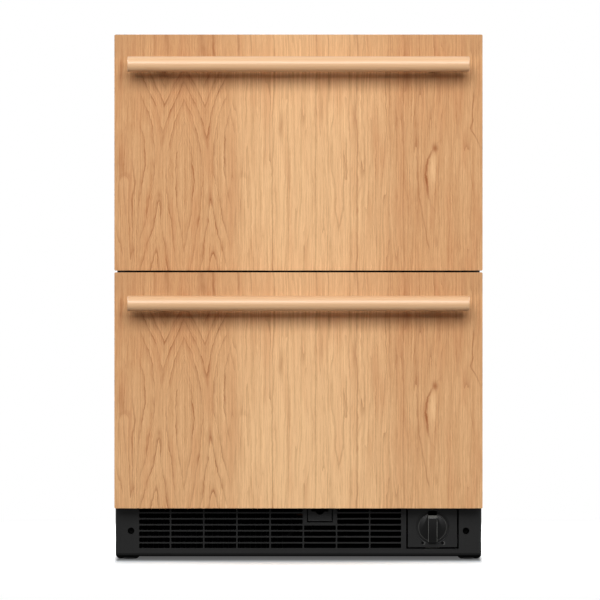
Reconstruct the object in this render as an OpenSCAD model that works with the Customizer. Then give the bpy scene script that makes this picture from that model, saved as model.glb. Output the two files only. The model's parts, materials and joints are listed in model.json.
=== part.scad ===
// Undercounter drawer refrigerator, in millimetres.
// The front faces -Y, +X is to the right and +Z is up.
// The origin lies on the floor, under the middle of the unit.

/* [Overall] */
// Width over the wood fronts
unit_w = 606; // [596:1:616]
// Height from the floor to the top of the upper wood front
unit_h = 867; // [860:1:880]
// Depth from the front of the handles to the back panel
unit_d = 663; // [650:1:700]

/* [Wood fronts] */
// Height of the lower front's lower edge over the floor
base_h = 87; // [85:1:89]
// Gap between the two wood fronts
panel_gap = 3; // [2:0.5:4]
// Thickness of a wood front
panel_t = 19; // [16:1:22]
// Radius of a wood front's corners
panel_corner_r = 2; // [1:0.5:6]

/* [Handles] */
// Diameter of a handle bar
bar_d = 25; // [22:1:30]
// Length of a handle bar
bar_l = 559; // [500:1:590]
// Distance of a bar's axis below its front's upper edge
bar_drop = 51; // [40:1:70]
// Space for the fingers behind a bar
finger_gap = 35; // [30:1:40]
// Distance between a bar's two posts
post_spacing = 444; // [300:1:500]
// Diameter of a post
post_d = 12; // [10:1:14]

/* [Drawer fronts] */
// Width of the steel drawer fronts behind the wood
front_w = 596; // [590:1:600]
// Thickness of a drawer front, without its gasket
front_t = 40; // [30:1:45]
// Gap between a drawer front and the cabinet, which the gasket fills
front_gap = 10; // [8:0.5:12]
// Sheet thickness of the drawer fronts and bin frames
sheet_t = 1.2; // [0.8:0.1:1.5]
// Width of the gasket
gasket_w = 12; // [10:0.5:13]

/* [Cabinet] */
// Width of the cabinet
cab_w = 602; // [600:1:604]
// Height of the cabinet's top over the floor
cab_top = 864; // [860:1:865]
// Sheet thickness of the cabinet
skin_t = 1; // [0.8:0.1:1.2]
// Thickness of the insulation in the side walls
wall_t = 32; // [30:1:35]
// Wall thickness of the plastic liners
liner_t = 2.5; // [2:0.1:3]
// Height of the channel between the two drawers
mullion_h = 54; // [50:1:56]
// Height of the machine space at the front
machine_h = 90; // [90:1:92]
// Height of the machine space at the back, over the compressor
hump_h = 250; // [245:1:260]
// Depth of the high part of the machine space
hump_d = 221; // [215:1:225]

/* [Drawers] */
// Travel of a drawer
travel = 400; // [300:5:400]
// Wall thickness of a bin
bin_t = 2.5; // [2:0.1:3]
// Radius of a bin's upright corners
bin_corner_r = 16; // [8:1:24]
// Height of a bin's rim over the floor of its liner, upper drawer
upper_rim_h = 262; // [220:1:280]
// Height of a bin's rim over the floor of its liner, lower drawer
lower_rim_h = 268; // [255:1:280]

/* [Slides] */
// Length of every rail
rail_l = 400; // [400:5:410]
// Height of a slide
rail_h = 45.6; // [45:0.1:47]
// Thickness of a slide, from the liner to the bin frame
rail_t = 12.7; // [12.7:0.1:13]
// Sheet thickness of the rails
rail_sheet = 1.2; // [1:0.1:1.3]
// Diameter of the balls
ball_d = 4; // [3.8:0.1:4]
// Balls in one row of a cage
cage_balls = 6; // [3:1:8]

/* [Base grille] */
// Width of the moulded base front
grille_w = 606; // [600:1:606]
// Setback of the base front behind the wood fronts
toe_setback = 50; // [48:1:52]
// Wall thickness of the moulded base front
grille_t = 2.5; // [2:0.1:3]
// Height of the lower edge between the end lobes
grille_bottom = 5.3; // [4:0.1:8]
// Height at which the lower lip starts to slope back
lip_break = 10.6; // [9:0.1:12]
// Height of a slot
slot_h = 7.55; // [6:0.05:8]
// Distance from one row of slots to the next
slot_pitch = 9.95; // [9.5:0.05:10]
// Width of the upright bars between slots
divider_w = 2.2; // [2:0.1:4]

/* [Control] */
// Distance of the knob's axis from the middle of the unit
knob_x = 222; // [215:1:225]
// Height of the knob's axis
knob_z = 53.5; // [52:0.5:55]
// Diameter of the knob's skirt
skirt_d = 47; // [40:1:48]
// Diameter of the recess around the knob
recess_d = 55; // [53:0.5:56]
// Width of the knob's grip
grip_w = 15.2; // [12:0.1:18]
// Length of the knob's grip
grip_l = 43; // [38:1:43]
// Width of the control plate
plate_w = 81.5; // [80:0.5:82]

/* [Levelling legs] */
// Diameter of a foot
foot_d = 26; // [24:1:30]
// Diameter of a leg's threaded rod
leg_rod_d = 10; // [8:1:10]
// Travel of a leg
leg_travel = 25; // [10:1:25]

/* [Machine space] */
// Diameter of the compressor's shell
compressor_d = 160; // [140:1:164]
// Diameter of the condenser fan
condenser_fan_d = 140; // [120:1:150]
// Diameter of the evaporator fan
evaporator_fan_d = 96; // [80:1:100]
// Blades on each fan
fan_blades = 5; // [4:1:7]

/* [Hidden] */
$fn = 64;
eps = 0.01;

// Depths, from the handles at the front to the back panel
bar_y = -unit_d / 2 + bar_d / 2;
panel_y = bar_y + bar_d / 2 + finger_gap;
front_y = panel_y + panel_t;
front_back_y = front_y + front_t;
cab_y = front_back_y + front_gap;
back_y = unit_d / 2;
grille_y = panel_y + toe_setback;

// Heights of the wood fronts and of the steel fronts behind them
panel_h = (unit_h - base_h - panel_gap) / 2;
upper_panel_z = unit_h - panel_h;
front_inset = 6;
front_h = panel_h - 2 * front_inset + 0.5;
lower_front_z = base_h + front_inset;
upper_front_z = upper_panel_z + front_inset - 0.5;

// Openings of the cabinet, between steel edges
mullion_z = (upper_panel_z - panel_gap / 2) - mullion_h / 2;
opening_w = cab_w - 2 * skin_t - 2 * wall_t + 2;
lower_open_z = machine_h + wall_t;
lower_open_top = mullion_z;
upper_open_z = mullion_z + mullion_h;
upper_open_top = cab_top - wall_t - 4;
cavity_w = opening_w - 2 * liner_t;
liner_back_y = back_y - 39.5;
liner_r = 12;
bead_w = 3.5;
bead_t = 1;

// Pressed stiffening troughs of the back panel
trough_w = 470;
trough_h = 18;
trough_depth = 3;
trough_zs = [for (k = [1:5]) hump_h + 102 * k];

// The stepped machine space
hump_y = back_y - hump_d;
step_y = hump_y - wall_t;
step_z = hump_h + wall_t + skin_t;

// Gasket
gasket_inset = 4;
gasket_gap = 0.3;
dart_t = 1.5;
magnet_t = 3;

// Inner side of a drawer front
dike_inset = 18;
dike_t = 6.5;
dike_y = front_back_y + dike_t;
inner_panel_t = 2;
return_w = 14;

// Slides, from the liner's wall (u = 0) towards the bin
rail_y = cab_y + 6.5;
rail_lip = 2;
outer_depth = 9.6;
middle_web_u = 3;
middle_end_u = 10;
inner_flange_u = 6.2;
ball_gap = 0.15;
outer_ball_u = 6;
inner_ball_u = 7.6;
outer_ball_v = rail_h / 2 - rail_sheet - ball_gap - ball_d / 2;
middle_v = outer_ball_v - ball_d / 2 - ball_gap;
inner_ball_v = middle_v - rail_sheet - ball_gap - ball_d / 2;
inner_v = inner_ball_v - ball_d / 2 - ball_gap;
cage_t = 0.8;
// a cage fits in the overlap that two rails keep at full travel
cage_l = rail_l - travel / 2 - 20;
cage_y = rail_y + rail_l / 2 - cage_l / 2;

// Slots of the outer rails' screws, and the stop at their rear end
rail_slot_dys = [34, 200, 366];
rail_slot_l = 13;
rail_slot_h = 5;
stop_h = 18;
stop_gap = 0.6;

// Bin frames and bins
frame_x = cavity_w / 2 - rail_t;
frame_low = 26;
ledge_over_rail = 30;
ledge_w = 12;
rim_t = 2.5;
bin_w = 2 * (frame_x - sheet_t - ledge_w - 2.6);
rim_w = 2 * (frame_x - sheet_t - 1.6);
bin_y0 = rail_y + 2;
bin_y1 = rail_y + rail_l - 8;
rim_margin = 6;
rim_edge_h = 3;
bin_rib_h = 1.5;
bin_rib_count = 7;
bin_rib_pitch = 48;
bin_clearance = 14;
upper_floor_z = upper_open_z + liner_t;
lower_floor_z = lower_open_z + liner_t;
upper_rim_z = upper_floor_z + upper_rim_h;
lower_rim_z = lower_floor_z + lower_rim_h;
upper_rail_z = upper_rim_z - ledge_over_rail;
lower_rail_z = lower_rim_z - ledge_over_rail;
bin_step_y = step_y - 24;
bin_step_z = step_z + liner_t + 11;

// Handles
post_head_r = 6;
post_head_t = 4;
counterbore_r = 7;
counterbore_t = 6;
post_screw_r = 2.5;
post_hole_r = 3;
post_flange_r = 8;
post_flange_t = 3;
socket_t = 4;
socket_clear = 0.1;
stud_r = 3;
stud_l = 10;

// Base grille
grille_top = machine_h;
lobe_bottom = 1.2;
lobe_w = 40;
lobe_r = 8;
lip_slope = 0.95;
lip_room = 20;
slot_x0 = -264;
slot_x1 = 170;
divider_xs = [-212, -157, -102, -47, 8, 63, 118];
slot_rows = 7;
slot_z0 = 19;
slot_r = 1.2;
tab_x0 = 8;
tab_x1 = 63;
tab_frame_w = 6.2;
tab_z0 = 57.8;
tab_plate_z0 = 63.4;
tab_gap = 1.5;
tab_pocket_y = 6.5;
notch_r = 7;
notch_z = 81.3;
screw_x = 277.5;
screw_z = 47.5;
screw_recess_r = 5.5;
screw_head_r = 4.2;
screw_head_t = 3;
screw_shank_r = 1.9;
screw_shank_l = 9;
screw_hole_r = 2.2;
screw_boss_r = 7.5;
screw_floor_t = 3.5;
plate_z0 = 20.5;
plate_groove = 2.8;
foot_x = 281;
front_foot_y = cab_y + 12;
rear_foot_x = 270;
rear_foot_y = back_y - 41.5;
scallop_r = 20;
scallop_top = 4.5;

// Knob and thermostat
recess_depth = 6;
cup_wall = 2;
plate_floor_t = 2.5;
skirt_lift = 1.5;
skirt_back_gap = 0.5;
grip_h = 14;
grip_drop = 4;
stem_r = 4;
stem_clear = 0.05;
stem_hole_r = 4.5;
stem_l = 15;
thermostat_w = 38;
thermostat_d = 33;

// Base pan and legs
pan_z = 12;
pan_t = 1.5;
pan_top = pan_z + pan_t;
pan_flange_h = 20;
pan_front_h = 5;
bush_r = 9;
bush_h = 20;
bush_clear = 0.3;
foot_h = 4;
hex_r = 8;
hex_h = 4.5;
leg_h = pan_z + bush_h + leg_travel + 1;

// Machine space
compressor_x = 150;
compressor_y = back_y - 106.5;
compressor_top = 190;
discharge_z = 88;
suction_z = 120;
suction_dy = 30;
stub_r = 6;
stub_reach = 88;
foot_plate_z = 24;
foot_plate_t = 3;
mount_dx = 78;
mount_dy = 58;
coil_fins = 28;
coil_fin_pitch = 9;
coil_x0 = -270;
coil_end = 3;
coil_fin_t = 0.6;
coil_fin_top = 84;
coil_tube_r = 4;
coil_pitch = 36;
coil_ys = [for (k = [0:5]) cab_y + 66 + coil_pitch * k];
coil_zs = [34, 62];
coil_margin = 18;
join_x = -8;
drier_x = 20;
drier_y = hump_y + 40;
drier_z = 96;
drier_l = 90;
shroud_y = hump_y + 5.5;
fan_x = -140;
fan_z = 100;
evap_fan_z = 735;
cover_y = back_y - 99.5;
cover_t = 2;
gland_x = -240;
gland_z = 60;
gland_bore_r = 4.2;
gland_neck_r = 10;
rear_cover_y = back_y - 4;
bracket_x = 200;
louvre_xs = [-120, 40, 200];
louvre_rows = 9;
louvre_pitch = 22;
louvre_z0 = 44;
louvre_w = 120;
louvre_h = 8;
louvre_reach = 5;

// ---------- shared shapes ----------

// Box between its low corner and its high corner
module block(low, high) {
    translate(low) cube(high - low);
}

// Plate from y to y + t; the flat shape is drawn in X and Z
module upright(y, t) {
    translate([0, y + t, 0]) rotate([90, 0, 0]) linear_extrude(t) children();
}

// Bar over a width w about the middle; the section is drawn in Y and Z
module across(w, x = 0) {
    translate([x - w / 2, 0, 0]) rotate([90, 0, 90]) linear_extrude(w) children();
}

// The children and their mirror image on the other side
module both_sides() {
    children();
    mirror([1, 0, 0]) children();
}

// Disc or tube stretch along Y, from y to y + l
module round_y(r, y, l) {
    translate([0, y, 0]) rotate([-90, 0, 0]) cylinder(r = r, h = l);
}

module rounded_rect(w, h, r) {
    square([w - 2 * r, h], center = true);
    square([w, h - 2 * r], center = true);
    for (x = [-1, 1], y = [-1, 1])
        translate([x * (w / 2 - r), y * (h / 2 - r)]) circle(r);
}

// Rounded rectangle in X and Z with its lower edge at z
module rounded_pane(w, z, h, r) {
    translate([0, z + h / 2]) rounded_rect(w, h, r);
}

// Rectangular ring in X and Z, between an outer rectangle and one that is inset
module pane_ring(w, z, h, inset) {
    translate([0, z + h / 2]) difference() {
        square([w, h], center = true);
        square([w - 2 * inset, h - 2 * inset], center = true);
    }
}

// Round rod from p to q
module rod(p, q, r) {
    d = q - p;
    l = norm(d);
    translate(p)
        rotate([0, acos(d[2] / l), atan2(d[1], d[0])])
            cylinder(r = r, h = l);
}

// Bend of a tube about a centre; it starts on the side from and sets off along way
module bend(centre, from, way, turn, bend_r, r) {
    axis = cross(from, way);
    multmatrix([
        [from[0], way[0], axis[0], centre[0]],
        [from[1], way[1], axis[1], centre[1]],
        [from[2], way[2], axis[2], centre[2]],
        [0, 0, 0, 1]
    ]) rotate_extrude(angle = turn) translate([bend_r, 0]) circle(r);
}

function unit(v) = v / norm(v);

// Tube with round bends at its square corners
module pipe(corners, r, bend_r) {
    last = len(corners) - 1;
    ways = [for (i = [0:last - 1]) unit(corners[i + 1] - corners[i])];
    for (i = [0:last - 1])
        rod(corners[i] + (i > 0 ? bend_r : 0) * ways[i],
            corners[i + 1] - (i < last - 1 ? bend_r : 0) * ways[i], r);
    for (i = [1:last - 1])
        bend(corners[i] + (ways[i] - ways[i - 1]) * bend_r, -ways[i], ways[i - 1], 90, bend_r, r);
}

// ---------- cabinet ----------

module cabinet_wrapper() {
    color([0.10, 0.10, 0.11]) difference() {
        union() {
            // sides and top
            difference() {
                block([-cab_w / 2, cab_y, pan_z], [cab_w / 2, back_y - skin_t, cab_top]);
                block([-cab_w / 2 + skin_t, cab_y - 1, pan_z - 1],
                      [cab_w / 2 - skin_t, back_y, cab_top - skin_t]);
            }
            // front flange that the gaskets seal on
            upright(cab_y, skin_t) difference() {
                translate([-cab_w / 2, pan_z]) square([cab_w, cab_top - pan_z]);
                translate([-opening_w / 2, pan_z - 1])
                    square([opening_w, upper_open_top - pan_z + 1]);
            }
        }
        for (x = [-screw_x, screw_x])
            translate([x, 0, screw_z]) round_y(screw_hole_r, cab_y - 1, skin_t + 2);
    }
}

// Outlines of the pressed troughs, grown outwards
module trough_outlines(grow) {
    for (z = trough_zs) translate([0, z])
        rounded_rect(trough_w + 2 * grow, trough_h + 2 * grow, trough_h / 2 + grow - 0.1);
}

module back_panel() {
    color([0.62, 0.63, 0.64]) difference() {
        union() {
            block([-cab_w / 2, back_y - skin_t, hump_h], [cab_w / 2, back_y, cab_top]);
            upright(back_y - skin_t - trough_depth, trough_depth + eps) trough_outlines(skin_t);
        }
        upright(back_y - trough_depth, trough_depth + 1) trough_outlines(0);
    }
}

module machine_deck() {
    color([0.62, 0.63, 0.64]) {
        // stepped sheet under the insulation
        across(cab_w - 2 * skin_t) difference() {
            translate([cab_y + skin_t, machine_h])
                square([back_y - skin_t - cab_y - skin_t, hump_h + skin_t - machine_h]);
            translate([cab_y, machine_h + skin_t])
                square([hump_y - cab_y, hump_h]);
            translate([hump_y + skin_t, machine_h - 1])
                square([hump_d, hump_h - machine_h + 1]);
        }
        // upturned front edge that the lower gasket seals on
        block([-opening_w / 2, cab_y, machine_h], [opening_w / 2, cab_y + skin_t, lower_open_z]);
    }
}

module mullion_section() {
    translate([cab_y, mullion_z]) difference() {
        square([24, mullion_h]);
        translate([skin_t, skin_t]) square([24, mullion_h - 2 * skin_t]);
    }
}

module mullion_rail() {
    color([0.10, 0.10, 0.11]) across(opening_w) mullion_section();
}

// Outline of the lower liner in Y and Z, inset by its wall for the inside
module lower_liner_section(inset) {
    difference() {
        translate([cab_y - (inset > 0 ? bead_t + 1 : 0), lower_open_z + inset])
            square([liner_back_y - inset - cab_y + (inset > 0 ? bead_t + 1 : 0),
                    lower_open_top - lower_open_z - 2 * inset]);
        translate([step_y - inset, lower_open_z - 1])
            square([liner_back_y - step_y + 2 * inset, step_z + inset - lower_open_z + 1]);
    }
}

// Tub between two heights, round along its four long edges
module liner_block(z, top, inset) {
    start_y = cab_y - (inset > 0 ? bead_t + 1 : 0);
    upright(start_y, liner_back_y - inset - start_y)
        rounded_pane(opening_w - 2 * inset, z + inset, top - z - 2 * inset, liner_r - inset);
}

module upper_liner_block(inset) {
    liner_block(upper_open_z, upper_open_top, inset);
}

// The lower tub, stepped over the machine space
module lower_liner_block(inset) {
    intersection() {
        liner_block(lower_open_z, lower_open_top, inset);
        across(opening_w - 2 * inset) lower_liner_section(inset);
    }
}

module insulation_foam() {
    color([0.93, 0.90, 0.72]) difference() {
        block([-cab_w / 2 + skin_t, cab_y + skin_t, machine_h + skin_t],
              [cab_w / 2 - skin_t, back_y - skin_t, cab_top - skin_t]);
        block([-cab_w / 2, hump_y, machine_h], [cab_w / 2, back_y, hump_h + skin_t]);
        upper_liner_block(0);
        lower_liner_block(0);
        mullion_rail();
        upright(back_y - skin_t - trough_depth, trough_depth + 1) trough_outlines(skin_t);
    }
}

module upper_liner() {
    color([0.94, 0.94, 0.93]) difference() {
        union() {
            upper_liner_block(0);
            upright(cab_y - bead_t, bead_t)
                rounded_pane(opening_w + 2 * bead_w, upper_open_z - bead_w,
                             upper_open_top - upper_open_z + 2 * bead_w, liner_r + bead_w);
        }
        upper_liner_block(liner_t);
    }
}

module lower_liner() {
    color([0.94, 0.94, 0.93]) difference() {
        union() {
            lower_liner_block(0);
            upright(cab_y - bead_t, bead_t)
                rounded_pane(opening_w + 2 * bead_w, lower_open_z - bead_w,
                             lower_open_top - lower_open_z + 2 * bead_w, liner_r + bead_w);
        }
        lower_liner_block(liner_t);
    }
}

// ---------- base ----------

module leg_places() {
    for (x = [-foot_x, foot_x]) translate([x, front_foot_y, 0]) children();
    for (x = [-rear_foot_x, rear_foot_x]) translate([x, rear_foot_y, 0]) children();
}

module base_pan() {
    pan_w = cab_w - 2 * skin_t;
    color([0.10, 0.10, 0.11]) difference() {
        union() {
            block([-pan_w / 2, cab_y + skin_t, pan_z], [pan_w / 2, back_y - skin_t, pan_top]);
            block([-pan_w / 2, cab_y + skin_t, pan_z],
                  [pan_w / 2, cab_y + skin_t + pan_t, pan_z + pan_front_h]);
            both_sides()
                block([pan_w / 2 - pan_t, cab_y + skin_t, pan_z],
                      [pan_w / 2, back_y - skin_t, pan_z + pan_flange_h]);
            leg_places() translate([0, 0, pan_z]) cylinder(r = bush_r, h = bush_h);
        }
        leg_places() translate([0, 0, pan_z - 1])
            cylinder(r = leg_rod_d / 2 + bush_clear, h = bush_h + 2);
    }
}

module levelling_leg(x, y) {
    color([0.08, 0.08, 0.08]) translate([x, y, 0]) {
        rotate_extrude() polygon([
            [0, 0], [foot_d / 2 - 1, 0], [foot_d / 2, 1], [foot_d / 2, foot_h - 1.5],
            [foot_d / 2 - 1.5, foot_h], [0, foot_h]
        ]);
        translate([0, 0, foot_h - eps]) cylinder(r = hex_r, h = hex_h, $fn = 6);
        cylinder(r = leg_rod_d / 2, h = leg_h);
    }
}

module front_left_leg() { levelling_leg(-foot_x, front_foot_y); }
module front_right_leg() { levelling_leg(foot_x, front_foot_y); }
module rear_left_leg() { levelling_leg(-rear_foot_x, rear_foot_y); }
module rear_right_leg() { levelling_leg(rear_foot_x, rear_foot_y); }

// Places of the louvres in the rear cover
module louvre_places() {
    for (x = louvre_xs, k = [0:louvre_rows - 1])
        translate([x, 0, louvre_z0 + k * louvre_pitch]) children();
}

module rear_cover() {
    cover_w = cab_w - 2 * skin_t - 2 * pan_t;
    half = louvre_h / 2;
    color([0.62, 0.63, 0.64]) {
        difference() {
            upright(rear_cover_y, skin_t) difference() {
                translate([-cover_w / 2, pan_top]) square([cover_w, hump_h - pan_top]);
                translate([gland_x, gland_z]) circle(gland_neck_r);
            }
            louvre_places() upright(rear_cover_y - 1, skin_t + 2)
                rounded_rect(louvre_w, louvre_h, half - 0.1);
        }
        // hoods that slope inwards and down from the slots' upper edges
        louvre_places() across(louvre_w - louvre_h) polygon([
            [rear_cover_y + skin_t / 2, half], [rear_cover_y + skin_t / 2, half + skin_t],
            [rear_cover_y, half + skin_t], [rear_cover_y - louvre_reach, -half + skin_t],
            [rear_cover_y - louvre_reach, -half], [rear_cover_y, half]
        ]);
    }
}

module cord_gland() {
    // flange behind the cover, groove at the sheet, tapered neck inside
    color([0.06, 0.06, 0.06]) translate([gland_x, rear_cover_y + skin_t + 2, gland_z])
        rotate([90, 0, 0]) rotate_extrude() polygon([
            [gland_bore_r, 0], [12, 0], [13, 1], [13, 2], [gland_neck_r, 2],
            [gland_neck_r, 2 + skin_t], [gland_neck_r + 1.5, 2.5 + skin_t],
            [gland_neck_r - 1, 14], [gland_bore_r, 14]
        ]);
}

// Outline of one end lobe of the base front, in X and Z
module lobe_outline() {
    translate([grille_w / 2 - lobe_w / 2, (lobe_bottom + grille_top) / 2])
        rounded_rect(lobe_w, grille_top - lobe_bottom, lobe_r);
}

module grille_outline() {
    translate([-grille_w / 2, lip_break]) square([grille_w, grille_top - lip_break]);
    translate([-grille_w / 2 + lobe_w / 2, grille_bottom])
        square([grille_w - lobe_w, lip_break]);
    both_sides() lobe_outline();
}

module slot_openings() {
    edges = concat([slot_x0 - divider_w / 2], divider_xs, [slot_x1 + divider_w / 2]);
    for (i = [0:len(edges) - 2], k = [0:slot_rows - 1]) {
        x0 = edges[i] + divider_w / 2;
        x1 = edges[i + 1] - divider_w / 2;
        z0 = slot_z0 + k * slot_pitch;
        behind_tab = edges[i] == tab_x0 && z0 > tab_z0;
        if (!behind_tab)
            translate([(x0 + x1) / 2, z0 + slot_h / 2]) rounded_rect(x1 - x0, slot_h, slot_r);
    }
}

// Section of the base front in Y and Z: the face, then a lip that slopes back
module grille_section() {
    low = lobe_bottom - 1;
    back = (lip_break - low) * lip_slope;
    polygon([
        [grille_y, grille_top], [grille_y, lip_break], [grille_y + back, low],
        [grille_y + back + grille_t, low], [grille_y + grille_t, lip_break],
        [grille_y + grille_t, grille_top]
    ]);
}

module base_grille() {
    plate_open_w = plate_w + 2 * plate_groove;
    color([0.13, 0.13, 0.13]) difference() {
        union() {
            // face with its slots, the lobes at the ends and the sloped lower lip
            intersection() {
                across(grille_w) grille_section();
                upright(grille_y, lip_room) difference() {
                    grille_outline();
                    slot_openings();
                    both_sides() translate([foot_x, scallop_top - scallop_r]) circle(scallop_r);
                }
            }
            // pocket that the tab sits in
            block([tab_x0 + tab_frame_w - grille_t, grille_y, tab_z0],
                  [tab_x1 - tab_frame_w + grille_t, grille_y + tab_pocket_y + grille_t, grille_top]);
            // returns at the ends and along the top
            both_sides()
                block([grille_w / 2 - grille_t, grille_y + grille_t - eps, lip_break],
                      [grille_w / 2, cab_y, grille_top]);
            difference() {
                block([-grille_w / 2, grille_y + grille_t - eps, grille_top - grille_t],
                      [grille_w / 2, cab_y - 4, grille_top]);
                block([knob_x - plate_open_w / 2, grille_y, grille_top - 2 * grille_t],
                      [knob_x + plate_open_w / 2, cab_y, grille_top + 1]);
            }
            // screw bosses
            both_sides() translate([screw_x, 0, screw_z])
                round_y(screw_boss_r, grille_y + eps, cab_y - grille_y - eps);
        }
        // opening for the control plate
        block([knob_x - plate_open_w / 2, grille_y - 1, plate_z0 - plate_groove],
              [knob_x + plate_open_w / 2, grille_y + grille_t + 1, grille_top + 1]);
        // room for the tab
        block([tab_x0 + tab_frame_w, grille_y - 1, tab_plate_z0 - 2],
              [tab_x1 - tab_frame_w, grille_y + tab_pocket_y, grille_top - grille_t]);
        // screw recesses
        for (x = [-screw_x, screw_x]) translate([x, 0, screw_z]) {
            round_y(screw_recess_r, grille_y - 1, cab_y - screw_floor_t - grille_y + 1);
            round_y(screw_hole_r, grille_y, cab_y - grille_y + 1);
        }
    }
}

module service_tab() {
    x0 = tab_x0 + tab_frame_w + tab_gap;
    x1 = tab_x1 - tab_frame_w - tab_gap;
    mid = (x0 + x1) / 2;
    slot_w = 28;
    slot_low = 79.5;
    lip = 0.6;
    catch_w = 20;
    color([0.13, 0.13, 0.13]) {
        upright(grille_y + lip, grille_t) difference() {
            translate([x0, tab_plate_z0]) square([x1 - x0, grille_top - grille_t - tab_plate_z0]);
            translate([mid, notch_z]) circle(notch_r);
            translate([mid - slot_w / 2, slot_low]) square([slot_w, grille_top - slot_low]);
        }
        // raised lower edge and the catch behind
        block([x0, grille_y, tab_plate_z0], [x1, grille_y + lip, tab_plate_z0 + 1.5]);
        block([mid - catch_w / 2, grille_y + lip + grille_t, tab_plate_z0 + 2],
              [mid + catch_w / 2, grille_y + tab_pocket_y, tab_plate_z0 + 4]);
    }
}

module grille_screws() {
    seat_y = cab_y - screw_floor_t;
    cross_w = 5.2;
    cross_t = 1;
    cross_depth = 1.4;
    color([0.10, 0.10, 0.10]) both_sides() translate([screw_x, 0, screw_z]) difference() {
        union() {
            round_y(screw_head_r, seat_y - screw_head_t, screw_head_t);
            round_y(screw_shank_r, seat_y - eps, screw_shank_l);
        }
        // cross recess
        for (a = [0, 90]) rotate([0, a, 0])
            block([-cross_w / 2, seat_y - screw_head_t - 1, -cross_t / 2],
                  [cross_w / 2, seat_y - screw_head_t + cross_depth, cross_t / 2]);
    }
}

// ---------- control ----------

module control_plate() {
    x0 = knob_x - plate_w / 2;
    top = grille_top - 1.5;
    cup_l = recess_depth + plate_floor_t;
    return_l = 10;
    return_t = 2;
    mark_r = 2.4;
    mark_depth = 0.8;
    mark_angle = 32;
    mark_reach = 30.9;
    color([0.13, 0.13, 0.13]) difference() {
        union() {
            block([x0, grille_y, plate_z0], [x0 + plate_w, grille_y + grille_t, top]);
            // side and lower returns
            for (x = [x0, x0 + plate_w - return_t])
                block([x, grille_y + grille_t - eps, plate_z0],
                      [x + return_t, grille_y + return_l, top]);
            block([x0, grille_y + grille_t - eps, plate_z0],
                  [x0 + plate_w, grille_y + return_l, plate_z0 + return_t]);
            translate([knob_x, 0, knob_z]) round_y(recess_d / 2 + cup_wall, grille_y + eps, cup_l - eps);
        }
        translate([knob_x, 0, knob_z]) {
            round_y(recess_d / 2, grille_y - 1, recess_depth + 1);
            round_y(stem_hole_r, grille_y, cup_l + 1);
            // end marks of the scale
            for (a = [-mark_angle, mark_angle]) rotate([0, a, 0]) translate([0, 0, -mark_reach])
                round_y(mark_r, grille_y - 1, 1 + mark_depth);
        }
    }
}

module knob_grip_section() {
    low = -grip_l / 2 - grip_drop;
    high = grip_l / 2 - grip_drop;
    face = grille_y - skirt_lift;
    polygon([
        [face + 1, low], [face - grip_h + 3, low + 0.6], [face - grip_h, low + 3],
        [face - grip_h, high - 6], [face - grip_h + 4, high - 1.2], [face + 1, high]
    ]);
}

module control_knob() {
    face = grille_y - skirt_lift;
    back = grille_y + recess_depth - skirt_back_gap;
    color([0.13, 0.13, 0.13]) translate([knob_x, 0, knob_z]) {
        difference() {
            union() {
                // skirt with a rounded-off front edge
                translate([0, back, 0]) rotate([90, 0, 0]) rotate_extrude() polygon([
                    [0, 0], [skirt_d / 2, 0], [skirt_d / 2, back - face - 1],
                    [skirt_d / 2 - 1, back - face], [0, back - face]
                ]);
                intersection() {
                    across(grip_w) knob_grip_section();
                    translate([0, 0, -grip_drop]) upright(face - grip_h - 1, grip_h + 3)
                        rounded_rect(grip_w, grip_l, 3);
                }
            }
            // index notch over the grip
            block([-5.5, face - 1, grip_l / 2 - grip_drop], [5.5, face + 3.5, skirt_d / 2 + 1]);
        }
        round_y(stem_r, back - eps, stem_l);
    }
}

module thermostat_body() {
    front = grille_y + recess_depth + plate_floor_t;
    low = knob_z - thermostat_w / 2;
    bracket_y = front + 14;
    bracket_w = 24;
    bracket_foot = 16;
    terminal_w = 6.3;
    terminal_l = 9;
    color([0.75, 0.75, 0.72]) difference() {
        union() {
            translate([knob_x, 0, knob_z]) upright(front, thermostat_d)
                rounded_rect(thermostat_w, thermostat_w, 4);
            // bracket down to the base pan
            block([knob_x - bracket_w / 2, bracket_y, pan_top],
                  [knob_x + bracket_w / 2, bracket_y + 2, low + 6]);
            block([knob_x - bracket_w / 2, bracket_y, pan_top],
                  [knob_x + bracket_w / 2, bracket_y + bracket_foot, pan_top + 2]);
            // blade terminals
            for (x = [-9, 3]) translate([knob_x + x, front + thermostat_d - eps, knob_z - 0.4])
                cube([terminal_w, terminal_l, 0.8]);
        }
        translate([knob_x, 0, knob_z]) round_y(stem_r + stem_clear, front - 1, stem_l + 1);
    }
}

// ---------- machine space ----------

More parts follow.
